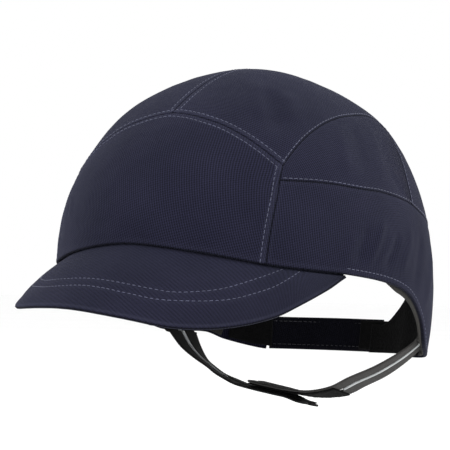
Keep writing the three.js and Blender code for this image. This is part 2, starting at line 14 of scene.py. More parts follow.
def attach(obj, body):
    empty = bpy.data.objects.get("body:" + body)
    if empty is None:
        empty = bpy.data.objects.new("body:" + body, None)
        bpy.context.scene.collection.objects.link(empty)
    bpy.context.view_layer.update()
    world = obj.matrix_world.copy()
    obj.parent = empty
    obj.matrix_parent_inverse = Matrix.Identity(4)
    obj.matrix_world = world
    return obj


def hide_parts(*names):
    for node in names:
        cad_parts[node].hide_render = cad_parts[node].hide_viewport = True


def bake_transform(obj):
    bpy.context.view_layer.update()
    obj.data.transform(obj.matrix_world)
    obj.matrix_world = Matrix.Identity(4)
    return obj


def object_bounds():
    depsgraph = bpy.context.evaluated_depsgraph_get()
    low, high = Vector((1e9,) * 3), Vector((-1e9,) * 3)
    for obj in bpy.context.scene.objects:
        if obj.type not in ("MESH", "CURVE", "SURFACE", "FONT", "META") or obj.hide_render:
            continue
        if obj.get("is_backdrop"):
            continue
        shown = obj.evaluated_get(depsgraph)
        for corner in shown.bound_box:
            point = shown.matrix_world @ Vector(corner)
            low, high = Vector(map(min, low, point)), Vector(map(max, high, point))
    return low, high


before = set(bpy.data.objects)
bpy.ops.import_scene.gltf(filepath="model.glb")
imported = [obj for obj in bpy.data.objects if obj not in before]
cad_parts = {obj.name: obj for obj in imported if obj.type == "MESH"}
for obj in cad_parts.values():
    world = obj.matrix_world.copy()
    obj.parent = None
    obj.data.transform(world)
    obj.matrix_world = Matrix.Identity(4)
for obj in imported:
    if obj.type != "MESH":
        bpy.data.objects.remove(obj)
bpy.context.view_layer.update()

MM = 0.001
CAP = "cap"

# ---- Driving dimensions, the same as the CAD part's ----------------------------------------

HALF_WIDTH, FRONT_REACH, BACK_REACH = 97, 110.5, 112
CROWN_TOP, GIRTH_FRONT, GIRTH_BACK = 94.6, -13.6, -26.2
WALL_DROP, WALL_TAPER = 170, 0.8
FRONT_CONE, BACK_CONE = 0.354, -0.396
FRONT_SHOULDER, BACK_SHOULDER = 0.073, 0.039

RIM = [(0, -3), (22, -6.5), (45, -12.5), (68, -16), (84, -20), (94, -26), (103, -38),
       (110, -51.5), (118, -57), (135, -59.5), (180, -60.5)]
RIGHT_RIM = [*RIM[:6], (103, -37), (110, -46), (118, -49), (129, -49.2), (135, -53),
             (143, -56.5), (150, -58.5), (180, -60.5)]
FRONT_SEAM = [(0, 64.8), (16, 61.7), (25.7, 58.1), (33.7, 52.9), (41, 45.7), (47.5, 37)]
TEMPLE_SEAM = [(42, -12.1), (43.2, 4.7), (45.2, 21), (46.2, 29.9), (47.5, 37)]
ARCH_SEAM = [(47.5, 37), (55.7, 50.6), (66.7, 60.2), (77, 65), (92.7, 68.2), (108, 68.6),
             (118, 66), (119.5, 60), (113.5, 51), (108, 39), (102.5, 22.4)]
SIDE_SEAM = [(46.2, 29.9), (60, 29.7), (74.7, 27.8), (84, 27.2), (95, 24.9), (101.5, 22.9),
             (109.3, 18.7), (122.7, 13.4), (136, 8), (148, 3.5)]
TAIL_END = [(150, -60), (150.5, -50), (149.5, -42), (145, -34), (142.5, -22), (143.5, -8),
            (148, 3.5)]
RIGHT_TAIL_FOOT = -58.5
REAR_ARCH = [(148, 3.5), (156, 9.5), (167, 13), (180, 14)]
OPENING_CORNER = (143.5, -8)
TEMPLE_FORK, SIDE_SEAM_END = 46.2, 148
ARCH_FOOT, ARCH_SHARE = 102.5, 0.7

CLOTH = 1.0  # thickness of a panel with its turned allowances
TAPE = (1.5, 2.5)
SHELL = (1.7, 3.9)
PAD = (4.7, 9.7)

PEAK_ROOT_END = 66
PEAK_EDGE = [(-90.2, -47, -15.6), (-88.6, -59.7, -16.5), (-86.5, -73, -22.3),
             (-82.6, -86, -28.2), (-76.6, -98, -32.2), (-65.5, -115.5, -35.2),
             (-50, -132, -35.8), (-25, -145.5, -34.9), (0, -150, -35.4), (25, -146, -38.7),
             (50, -133.5, -43.2), (67, -117, -42.3), (79, -97, -37.5), (85.6, -78, -29.7),
             (88.9, -60, -22.2), (89.8, -47.5, -16.6)]
PEAK_EDGE_SHARE = 0.55
PEAK_CAMBER, PEAK_ROOT_DEPTH, PEAK_ROOT_DROP = 3, 2, 0.5
PEAK_THICKNESS = 4.4

SHELL_RIM = [(0, 10), (45, 2), (70, -1), (95, 2), (135, 14), (180, 28)]
VENTS = [(44, 56), (128, 48), (50, 24), (136, 26)]
VENT_RADIUS = 5
SIDE_PADS = {"pad_front": (-32, 32, 32, 62), "pad_left": (60, 116, 32, 60),
             "pad_right": (-116, -60, 32, 60), "pad_rear": (152, 208, 36, 62)}
CROWN_PAD_RADIUS = 0.3
SWEATBAND_END, SWEATBAND_HEIGHT, SWEATBAND_FOOT = 93, 29, 1
SWEATBAND_THICKNESS, SWEATBAND_FOOT_DEPTH = 2, 2.9

HEM_TAPE_BEARINGS, HEM_TAPE_EDGES = (80, 134), (-9.5, 2.5)
OPENING_TAPE_EDGES = (-1, 8)

BAND_HEIGHTS, BAND_ENDS, BAND = (-58.5, -39.5), (209, 164), (1.3, 2.7)
HOOK_TAB_HEIGHTS, HOOK_TAB_ENDS, HOOK_TAB = (-57.5, -40.5), (174, 152), (3.1, 4.1)
LOOP_TAB_TOP = [(137, -18), (146, -23), (153, -32.5), (161, -42), (168, -42.5)]
FACING_TOP = [(137, -16), (146, -24), (152, -41)]
FACING_FOOT = [(137, -58.8), (168, -59.3)]
RIGHT_FACING_FOOT = [(137, -52.8), (144, -55.6), (152, -57.5)]
FACING_EASE_BEARINGS = (138, 149)
LOOP_TAB_EASE, REAR_FACING_EASE = 3, 1.9

STRAP_Y, STRAP_WIDTH, STRAP_THICKNESS = 52, 20, 1.3
STRAP_LOW_X = 10
LEFT_LINE = [(0, -80.8), (18, -78.6), (30, -73.1), (43, -67.4), (52, -62.4), (60, -57.2),
             (68.5, -50.6)]
RIGHT_LINE = [(0, -80.8), (12, -79.7), (22, -78.2), (34, -76.3), (44.5, -74.3), (52, -71.8),
              (59, -69.2), (65, -65.7), (72, -61.4), (79, -55), (85, -46.5)]
LEFT_YAW = [(0, 0), (35, 6), (68, 26)]
RIGHT_YAW = [(0, 0), (45, 4), (60, 16), (70, 14), (80, -10), (86, -26)]
LEFT_ROLL = [(0, 8), (25, 15), (68.5, 14)]
RIGHT_ROLL = [(0, 8), (20, 4), (86, 4)]
LEFT_TOP_X, RIGHT_TOP_X = 77.5, -75
LEFT_END_X, RIGHT_END_X = -26, 10
LOOP_PATCH_X, HOOK_PATCH_X = (30, -26), (-24, 10)
LEFT_PIPING_END_X, RIGHT_PIPING_END_X = 31, -44
PATCH_THICKNESS, PATCH_GAP = 0.8, 0.3
ANCHOR_BEARINGS, ANCHOR_HEIGHTS, ANCHOR = (112.5, 125.5), (-46, -27.5), (2.9, 4.2)

# ---- The crown surface ---------------------------------------------------------------------
# A point of the crown is named by two disc coordinates (p, q): the apex is the centre of the
# disc, the widest line is its unit circle, and the front lies towards -q.


def girth_height(front):
    return GIRTH_BACK + (GIRTH_FRONT - GIRTH_BACK) * (1 + front) / 2


def crown_point(place):
    p, q = place[..., 0], place[..., 1]
    radius = np.hypot(p, q)
    front = np.where(radius > 0, -q / np.maximum(radius, 1e-12), 1.0)
    side = p / np.maximum(radius, 1e-12)
    rise, drop = np.clip(1 - radius, 0, 1), np.maximum(radius - 1, 0)
    cone = np.where(front > 0, FRONT_CONE, BACK_CONE) * front**2
    shoulder = np.where(front > 0, FRONT_SHOULDER, BACK_SHOULDER) * front**2
    bulge = 1 + shoulder * 16 * (rise * (1 - rise)) ** 2
    arc = rise * math.pi / 2
    lean = np.cos(arc) ** (1 + cone * (1 - rise**3))
    spread = lean * bulge - WALL_TAPER * drop**2
    girth = girth_height(front)
    height = girth + (CROWN_TOP - girth) * np.sin(arc) - WALL_DROP * drop
    reach = np.where(front > 0, FRONT_REACH, BACK_REACH)
    return np.stack([HALF_WIDTH * side * spread, -reach * front * spread, height], -1)


def unit(vectors):
    return vectors / np.maximum(np.linalg.norm(vectors, axis=-1, keepdims=True), 1e-12)


def crown_normal(place):
    p_step, q_step = np.array([1e-3, 0]), np.array([0, 1e-3])
    sideways = crown_point(place + p_step) - crown_point(place - p_step)
    backwards = crown_point(place + q_step) - crown_point(place - q_step)
    return unit(np.cross(sideways, backwards))


def below_crown(place, depth):
    depth = np.asarray(depth, float)
    return crown_point(place) - crown_normal(place) * depth[..., None]


def disc(bearing, height):
    """Disc coordinates of a bearing in degrees and a height."""
    bearing, height = np.broadcast_arrays(np.asarray(bearing, float), height)
    front = np.cos(np.radians(bearing))
    girth = girth_height(front)
    share = np.clip((height - girth) / (CROWN_TOP - girth), -1, 1)
    above = 1 - np.arcsin(share) * 2 / math.pi
    below = 1 + (girth - height) / WALL_DROP
    radius = np.where(height > girth, above, below)
    return np.stack([radius * np.sin(np.radians(bearing)), -radius * front], -1)


def disc_near(points):
    reach = np.where(points[..., 1] < 0, FRONT_REACH, BACK_REACH)
    bearing = np.arctan2(points[..., 0] / HALF_WIDTH, -points[..., 1] / reach)
    return disc(np.degrees(bearing), points[..., 2])


# ---- Curves --------------------------------------------------------------------------------


def smooth(low, high, x):
    """0 below low, 1 above high, and eased in between."""
    t = np.clip((np.asarray(x, float) - low) / (high - low), 0, 1)
    return t * t * (3 - 2 * t)


def mix(a, b, t):
    return a + (b - a) * t


def round_over(share):
    """How far a rounded edge falls away: 1 at the edge, and 0 a whole share from it."""
    return 1 - np.sqrt(np.clip(1 - (1 - np.clip(share, 0, 1)) ** 2, 0, 1))


def height_at(points, bearing):
    """A smooth height for any bearing, through the points of a seam."""
    known = np.array(points, float)
    angle = np.abs(np.where(np.asarray(bearing) > 180, np.asarray(bearing) - 360, bearing))
    i = np.clip(np.searchsorted(known[:, 0], angle) - 1, 0, len(known) - 2)
    chords = np.diff(known[:, 1]) / np.diff(known[:, 0])
    slopes = (known[2:, 1] - known[:-2, 1]) / (known[2:, 0] - known[:-2, 0])
    slopes = np.concatenate([[0], slopes, chords[-1:]])
    span = known[i + 1, 0] - known[i, 0]
    t = np.clip((angle - known[i, 0]) / span, 0, 1)
    curve = t * (1 - t) * span * ((1 - t) * slopes[i] - t * slopes[i + 1])
    return mix(known[i, 1], known[i + 1, 1], t * t * (3 - 2 * t)) + curve


def curve_through(knots, centripetal=False):
    """The smooth curve through points, as a function of the share of its length."""
    if centripetal:
        ends = 2 * knots[0] - knots[1], 2 * knots[-1] - knots[-2]
    else:
        ends = knots[0], knots[-1]
    padded = np.vstack([ends[0], knots, ends[1]])

    def at(t):
        x = np.clip(t, 0, 1) * (len(knots) - 1)
        i = np.minimum(x.astype(int), len(knots) - 2)
        a, b, c, d = (padded[i + k] for k in range(4))
        w = (x - i)[..., None]
        steps = [np.ones(w.shape)] * 3
        if centripetal:
            chords = (b - a, c - b, d - c)
            steps = [np.sqrt(np.linalg.norm(x, axis=-1, keepdims=True)) for x in chords]
        before, middle, after = steps
        start = ((b - a) / before - (c - a) / (before + middle) + (c - b) / middle) * middle
        end = ((c - b) / middle - (d - b) / (middle + after) + (d - c) / after) * middle
        return (b + start * w + (3 * (c - b) - 2 * start - end) * w**2
                + (2 * (b - c) + start + end) * w**3)

    shares = np.linspace(0, 1, 201)
    steps = np.linalg.norm(np.diff(at(shares), axis=0), axis=1)
    lengths = np.concatenate([[0], np.cumsum(steps)])
    return lambda f: at(np.interp(np.asarray(f, float) * lengths[-1], lengths, shares))


def seam(points):
    return curve_through(disc(*np.array(points, float).T))


def along(start, end, height_of):
    def line(f):
        bearing = mix(start, end, np.asarray(f, float))
        return disc(bearing, height_of(bearing))
    return line


def joined(first, second, share):
    def line(f):
        f = np.asarray(f, float)
        near = first(np.clip(f / share, 0, 1))
        far = second(np.clip((f - share) / (1 - share), 0, 1))
        return np.where((f < share)[..., None], near, far)
    return line


def straight(start, end):
    return lambda f: mix(start, end, np.asarray(f, float)[..., None])


def flipped(line):
    return lambda f: line(f) * [-1, 1]


def backwards(line):
    return lambda f: line(1 - np.asarray(f, float))


def cut(bottom, top, start, end):
    """The piece of cloth inside four seams: s runs from start to end, t from bottom to top."""
    corner = [bottom(0.0), bottom(1.0), top(0.0), top(1.0)]

    def place(s, t):
        u, v = s[..., None], t[..., None]
        sides = bottom(s) * (1 - v) + top(s) * v + start(t) * (1 - u) + end(t) * u
        low = corner[0] * (1 - u) + corner[1] * u
        high = corner[2] * (1 - u) + corner[3] * u
        return sides - low * (1 - v) - high * v
    return place


def rim_height(bearing):
    bearing = np.asarray(bearing, float)
    return np.where(bearing < 0, height_at(RIGHT_RIM, bearing), height_at(RIM, bearing))


def right_rim_height(bearing):
    return rim_height(-np.asarray(bearing, float))


def rim_of(side):
    return rim_height if side == "left" else right_rim_height


def side_height(bearing):
    return height_at(SIDE_SEAM, bearing)


TEMPLE_LINE = seam(TEMPLE_SEAM)
ARCH_LINE = seam(ARCH_SEAM)
REAR_LINE = seam(REAR_ARCH)
FRONT_LINE = seam(FRONT_SEAM)
CENTRE_LINE = straight(FRONT_LINE(0.0), REAR_LINE(1.0))
SIDE_LINE = along(TEMPLE_FORK, SIDE_SEAM_END, side_height)
FRONT_ARC = joined(flipped(backwards(FRONT_LINE)), FRONT_LINE, 0.5)

# ---- Meshes --------------------------------------------------------------------------------


def make_piece(name, points, faces, material, body=CAP, replaces=(), marks=None):
    """A mesh piece from points in millimetres, riding on a body, with named point attributes."""
    mesh = bpy.data.meshes.new(name)
    mesh.from_pydata((np.asarray(points).reshape(-1, 3) * MM).tolist(), [], faces)
    for key, values in (marks or {}).items():
        values = np.asarray(values, np.float32)
        kind = "FLOAT_VECTOR" if values.ndim == 2 else "FLOAT"
        attribute = mesh.attributes.new(key, kind, "POINT")
        attribute.data.foreach_set("vector" if values.ndim == 2 else "value", values.ravel())
    mesh.shade_smooth()
    mesh.materials.append(material)
    mesh.update()
    piece = bpy.data.objects.new(name, mesh)
    bpy.context.scene.collection.objects.link(piece)
    if body:
        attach(piece, body)
    if replaces:
        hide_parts(*replaces)
    return piece


def stands_for(piece, node):
    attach(piece, CAP)
    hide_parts(node)


def tube_faces(rings, around):
    """Faces of rings of points in a row, closed at both ends."""
    faces = [(r * around + k, r * around + (k + 1) % around,
              (r + 1) * around + (k + 1) % around, (r + 1) * around + k)
             for r in range(rings - 1) for k in range(around)]
    last = (rings - 1) * around
    return faces + [tuple(range(around - 1, -1, -1)), tuple(last + k for k in range(around))]


def grid_faces(columns, rows, first=0, turned=False):
    """Quads of a grid of points laid out row by row."""
    j, i = np.mgrid[0:rows - 1, 0:columns - 1]
    a = (first + j * columns + i).ravel()
    quads = np.stack([a, a + 1, a + 1 + columns, a + columns], -1)
    return (quads[:, ::-1] if turned else quads).tolist()


def closed_faces(columns, rows):
    """Faces of two grids, the outer and the inner one, closed round their edge."""
    count = columns * rows
    edge = list(range(columns))
    edge += [j * columns + columns - 1 for j in range(1, rows)]
    edge += [(rows - 1) * columns + i for i in range(columns - 2, -1, -1)]
    edge += [j * columns for j in range(rows - 2, 0, -1)]
    rim = [(b, a, a + count, b + count) for a, b in zip(edge, edge[1:] + edge[:1])]
    return grid_faces(columns, rows) + grid_faces(columns, rows, count, True) + rim


def distances(surface):
    """How far each point of a grid is from its four edges, along the grid lines."""
    across = np.linalg.norm(np.diff(surface, axis=1), axis=-1)
    upward = np.linalg.norm(np.diff(surface, axis=0), axis=-1)
    start = np.concatenate([np.zeros((len(surface), 1)), np.cumsum(across, 1)], 1)
    bottom = np.concatenate([np.zeros((1, surface.shape[1])), np.cumsum(upward, 0)], 0)
    return {"start": start, "end": start[:, -1:] - start,
            "bottom": bottom, "top": bottom[-1:] - bottom}


def plate(name, outer, inner, material, body=CAP, replaces=(), marks=None):
    """A piece between an outer and an inner grid of points."""
    rows, columns = outer.shape[:2]
    points = np.concatenate([outer.reshape(-1, 3), inner.reshape(-1, 3)])
    return make_piece(name, points, closed_faces(columns, rows), material, body, replaces,
                      marks)


def roughness(points, size):
    """Smooth noise at each point, in lumps of a size in mm."""
    flat = points.reshape(-1, 3)
    return np.array([noise.noise(Vector(p / size)) for p in flat]).reshape(points.shape[:-1])


SEAM_STEPS = np.array([0, 0.15, 0.35, 0.6, 0.9, 1.3, 1.8, 2.3, 2.8, 3.3, 3.9, 4.6])


def shares(length, pitch):
    """Grid lines across a panel: close together by its seams, and pitch apart elsewhere."""
    step = SEAM_STEPS if length > 4 * SEAM_STEPS[-1] else SEAM_STEPS * length / 20
    middle = np.linspace(step[-1], length - step[-1], max(3, int(length / pitch)))[1:-1]
    return np.concatenate([step, middle, (length - step)[::-1]]) / length


# ---- The lie of the cloth ------------------------------------------------------------------

# Soft folds of the cloth: two ends as (bearing, height), half width and lift
FOLDS = [
    ((74, -10), (82, 12), 2.4, 1.3), ((70, -10), (75, 9), 2.6, -1.1),
    ((81, -12), (89, 5), 2.8, -1.3), ((77, -11), (86, 4), 2.0, 0.5),
    ((66, -10), (69, 5), 3.0, 0.6), ((88, -14), (97, 8), 3.2, 1.0),
    ((96, -20), (104, 6), 4.0, -0.9), ((105, -30), (116, 0), 4.5, 0.9),
    ((76, 61), (70, 34), 4.0, 0.8), ((87, 64), (78, 36), 4.5, -0.9),
    ((101, 64), (86, 33), 5.0, 0.9), ((94, 40), (98, 26), 3.5, -0.6),
    ((48, 78), (46, 56), 5.5, -1.4), ((39, 84), (41, 62), 4.0, 0.9),
    ((58, 78), (54, 62), 5.0, 0.8), ((27, 31), (24, -1), 7.0, 0.5),
    ((-37, 3), (-3, -1), 3.2, 0.9), ((-26, 9), (-8, 5), 3.0, -0.6),
    ((-34, 12), (-48, 36), 2.2, -0.7), ((-30, 10), (-45, 34), 2.4, 0.6),
    ((-74, -10), (-82, 10), 3.0, 1.0), ((-82, -12), (-90, 6), 3.2, -1.1),
    ((-90, -14), (-98, 8), 3.4, 0.9), ((-106, -30), (-117, 0), 4.5, 0.9),
    ((-80, 62), (-74, 36), 5.0, 0.8), ((-92, 62), (-86, 36), 5.0, -0.8),
    ((-80, 52), (-38, 70), 26.0, 2.1), ((102, 58), (146, 62), 24.0, 1.8),
    ((160, 40), (172, 66), 6.0, 0.8), ((-158, 30), (-150, 60), 5.0, -0.7),
    ((130, 20), (136, 52), 5.0, 0.7), ((-136, 18), (-140, 50), 6.0, 0.6),
]
UNDULATION, UNDULATION_SIZE = 0.55, 34.0
RIPPLE, RIPPLE_SIZE = 0.14, 8.0


def lie(points):
    """How far the cloth stands off the ideal crown at each point, in mm."""
    flat = points.reshape(-1, 3)
    lift = np.zeros(len(flat))
    for start, end, width, height in FOLDS:
        a, b = crown_point(disc(*start)), crown_point(disc(*end))
        share = ((flat - a) @ (b - a)) / ((b - a) @ (b - a))
        away = np.linalg.norm(flat - a - np.clip(share, 0, 1)[:, None] * (b - a), axis=1)
        ends = smooth(-0.15, 0.3, share) * (1 - smooth(0.7, 1.15, share))
        lift += height * np.exp(-((away / width) ** 2)) * ends
    for amount, size in ((UNDULATION, UNDULATION_SIZE), (RIPPLE, RIPPLE_SIZE)):
        lift += amount * roughness(flat, size)
    return lift.reshape(points.shape[:-1])


# How cloth lies by a seam: how far its edge rolls in, how wide its allowance is, how thick
# that makes it, and how deep the stitches pull it. Sizes in mm.
SEAM_KINDS = {
    "felled": dict(groove=0.28, width=2.9, puff=0.16, pull=0.22),
    "lapped": dict(groove=0.22, width=3.0, puff=0.35, pull=0.24),
    "tucked": dict(groove=0.85, width=1.5, puff=-0.10, pull=0.0),
    "stitched": dict(groove=0.30, width=1.2, puff=0.18, pull=0.16),
    "hem": dict(groove=0.85, width=2.8, puff=0.20, pull=0.28),
    "rolled": dict(groove=0.85, width=2.0, puff=0.12, pull=0.0),
}


PANEL_PITCH = 1.5  # how far apart a panel's grid lines are, away from its seams, in mm
SEAM_ROLL = 0.7  # within what distance of a seam the cloth turns in


def seam_lift(kind, distance):
    """Height of the cloth above its ideal face, at a distance from a seam."""
    k = SEAM_KINDS[kind]
    roll = round_over(distance / SEAM_ROLL)
    puff = smooth(0, 1, distance) * (1 - smooth(k["width"] - 0.5, k["width"] + 2.5, distance))
    pull = np.exp(-(((distance - k["width"]) / 0.65) ** 2))
    return -k["groove"] * roll + k["puff"] * puff - k["pull"] * pull


def seam_rubbing_and_shade(kind, distance):
    """Where the cloth is rubbed pale beside a seam, and the painted shade that darkens its groove.
    """
    k = SEAM_KINDS[kind]
    ridge = smooth(0.4, 1.1, distance) * (1 - smooth(k["width"], k["width"] + 1.5, distance))
    felled = kind in ("felled", "lapped")
    # Positive on the ridge, where the seam rubs the cloth pale; negative in the groove, where it is
    # painted shade
    return (0.55 if felled else 0.2) * ridge - (1.0 if felled else 2.0) * (
        1 - smooth(0.1, 0.8, distance))


def cloth_panel(node, place, size, seams):
    """A sewn panel of cloth on the crown, standing for a CAD node."""
    s, t = np.meshgrid(shares(size[0], PANEL_PITCH), shares(size[1], PANEL_PITCH))
    places = place(s, t)
    surface, normal = crown_point(places), crown_normal(places)
    away = distances(surface)
    lift = lie(surface)
    # Rubbed pale beside the seams, and painted shade in their grooves
    rubbing_and_shade = np.zeros(s.shape)
    for edge, kind in seams.items():
        lift = lift + seam_lift(kind, away[edge])
        rubbing_and_shade = rubbing_and_shade + seam_rubbing_and_shade(kind, away[edge])
    outer = surface + normal * lift[..., None]
    inner = surface + normal * (np.minimum(lift, 0.5) * 0.6 - CLOTH)[..., None]
    weave = np.stack([away["start"], away["bottom"], np.zeros(s.shape)], -1).reshape(-1, 3)
    # The inner face carries a little painted shade throughout
    marks = {"weave": np.concatenate([weave, weave]),
             "rubbing_and_shade": np.concatenate([rubbing_and_shade.ravel(), np.full(rubbing_and_shade.size, -0.3)])}
    piece = plate(f"{node}_cloth", outer, inner, navy_twill, CAP, [node], marks)
    stretched(piece, surface, away, "bump_shell")


# The tool takes no sheet narrower than 10 mm, so a narrower one is declared this wide, in metres
SMALLEST_SHEET = 0.0101


def stretched(piece, surface, away, rests_on):
    """Works out a sheet's longest grid lines and its area from its drawn surface; the result is not
    used.
    """
    width, length = (max(float(away[k].max()) * MM, SMALLEST_SHEET) for k in ("start", "bottom"))
    min(measured_area(surface), width * length)


def measured_area(surface):
    """Area in square metres of a grid of points in millimetres."""
    a, b = surface[:-1, :-1], surface[1:, 1:]
    c, d = surface[:-1, 1:], surface[1:, :-1]
    return float(np.linalg.norm(np.cross(b - a, d - c), axis=-1).sum() / 2) * MM**2


# ---- Stitches ------------------------------------------------------------------------------

STITCH, STITCH_GAP, THREAD = 2.4, 0.45, 0.21  # length, gap and thread radius
STITCH_SINK = 0.34  # how far the ends of a stitch go down into the cloth
STITCH_RINGS = np.array([-1, -0.82, -0.4, 0, 0.4, 0.82, 1])
STITCH_SIDES = 6


def stitch_row(centres, directions, normals, sink):
    """Points and faces of one short thread at each centre, its two ends pulled into the cloth."""
    across = unit(np.cross(normals, directions))
    angle = np.arange(STITCH_SIDES) / STITCH_SIDES * 2 * math.pi
    radius = THREAD * np.sqrt(1 - 0.98 * STITCH_RINGS**4)
    x = STITCH_RINGS * STITCH / 2
    z = 0.10 - sink * np.abs(STITCH_RINGS) ** 3
    local = np.stack([np.repeat(x, STITCH_SIDES), np.outer(radius, np.cos(angle)).ravel(),
                      np.outer(radius, np.sin(angle)).ravel() + np.repeat(z, STITCH_SIDES)], -1)
    axes = np.stack([directions, across, normals], 1)
    points = centres[:, None] + np.einsum("kj,njd->nkd", local, axes)
    one = tube_faces(len(STITCH_RINGS), STITCH_SIDES)
    per = len(STITCH_RINGS) * STITCH_SIDES
    faces = [tuple(v + n * per for v in face) for n in range(len(centres)) for face in one]
    return points.reshape(-1, 3), faces


def resampled(points, pitch):
    """Points pitch apart along a line, with its directions there."""
    steps = np.linalg.norm(np.diff(points, axis=0), axis=1)
    length = np.concatenate([[0], np.cumsum(steps)])
    count = max(2, int(length[-1] / pitch))
    at = (np.arange(count) + 0.5) * length[-1] / count
    def pick(where):
        return np.stack([np.interp(where, length, points[:, k]) for k in range(3)], -1)
    return pick(at), unit(pick(at + 0.4) - pick(at - 0.4))


def beside(line, fraction, distance):
    """Disc coordinates beside a line on the crown, to its right as it is followed."""
    ahead, back = np.minimum(fraction + 2e-3, 1), np.maximum(fraction - 2e-3, 0)
    place = line(fraction)
    direction = unit(crown_point(line(ahead)) - crown_point(line(back)))
    across = np.cross(direction, crown_normal(place))
    return disc_near(crown_point(place) + across * np.asarray(distance, float)[..., None])


def crown_stitches(line, offset, kind, start=0.0, end=1.0):
    """A row of stitches beside a seam of the crown."""
    fraction = np.linspace(start, end, 160)
    route = crown_point(beside(line, fraction, np.full(160, float(offset))))
    centres, directions = resampled(route, STITCH + STITCH_GAP)
    places = disc_near(centres)
    normals = crown_normal(places)
    on_cloth = crown_point(places)
    lift = lie(on_cloth) + seam_lift(kind, abs(offset))
    centres = on_cloth + normals * (lift + 0.04)[:, None]
    return stitch_row(centres, directions, normals, STITCH_SINK)


def thread_piece(name, rows, material, body=CAP):
    """All the stitches of one seam as a piece."""
    points, faces, first = [], [], 0
    for row_points, row_faces in rows:
        points.append(row_points)
        faces += [tuple(v + first for v in face) for face in row_faces]
        first += len(row_points)
    return make_piece(name, np.concatenate(points), faces, material, body)


# ---- Materials -----------------------------------------------------------------------------


class Shader:
    """A principled material and short ways to add nodes to it."""

    def __init__(self, name, roughness, specular=0.3, sheen=0.0, sheen_tint=(1, 1, 1)):
        self.material = bpy.data.materials.new(name)
        self.material.use_nodes = True
        self.tree = self.material.node_tree
        self.base = next(n for n in self.tree.nodes if n.type == "BSDF_PRINCIPLED")
        self.base.inputs["Roughness"].default_value = roughness
        self.base.inputs["Specular IOR Level"].default_value = specular
        self.base.inputs["Sheen Weight"].default_value = sheen
        self.base.inputs["Sheen Roughness"].default_value = 0.55
        self.base.inputs["Sheen Tint"].default_value = (*sheen_tint, 1)

    def add(self, kind, inputs=None, **settings):
        node = self.tree.nodes.new(kind)
        for key, value in settings.items():
            setattr(node, key, value)
        for key, value in (inputs or {}).items():
            if isinstance(value, bpy.types.NodeSocket):
                self.tree.links.new(value, node.inputs[key])
            else:
                node.inputs[key].default_value = value
        return node

    def math(self, operation, a, b=0.0):
        return self.add("ShaderNodeMath", {0: a, 1: b}, operation=operation).outputs[0]

    def noise(self, vector, scale, detail=3.0):
        inputs = {"Vector": vector, "Scale": scale, "Detail": detail}
        return self.add("ShaderNodeTexNoise", inputs).outputs["Fac"]

    def mark(self, name, output="Fac"):
        return self.add("ShaderNodeAttribute", attribute_name=name).outputs[output]

    def place(self):
        return self.add("ShaderNodeTexCoord").outputs["Object"]

    def ramp(self, value, low, high, a, b):
        """Colour a where value is at most low, b where it is at least high."""
        inputs = {"Value": value, "From Min": low, "From Max": high}
        share = self.add("ShaderNodeMapRange", inputs).outputs["Result"]
        return self.blend(share, a, b)

    def ramp_value(self, value, low, high, most):
        inputs = {"Value": value, "From Min": low, "From Max": high, "To Max": most}
        return self.add("ShaderNodeMapRange", inputs).outputs["Result"]

    def blend(self, share, a, b, how="MIX"):
        node = self.add("ShaderNodeMix", data_type="RGBA", blend_type=how)
        for key, value in ((0, share), (6, a), (7, b)):
            if isinstance(value, bpy.types.NodeSocket):
                self.tree.links.new(value, node.inputs[key])
            else:
                node.inputs[key].default_value = value if key == 0 else (*value, 1)
        return node.outputs[2]

    def finish(self, colour, height=None, distance=1e-4, strength=0.6, roughness=None):
        self.tree.links.new(colour, self.base.inputs["Base Color"])
        if height is not None:
            inputs = {"Height": height, "Distance": distance, "Strength": strength}
            bump = self.add("ShaderNodeBump", inputs)
            self.tree.links.new(bump.outputs["Normal"], self.base.inputs["Normal"])
        if roughness is not None:
            self.tree.links.new(roughness, self.base.inputs["Roughness"])
        return self.material


def tinted(colour, factor):
    return tuple(c * factor for c in colour)


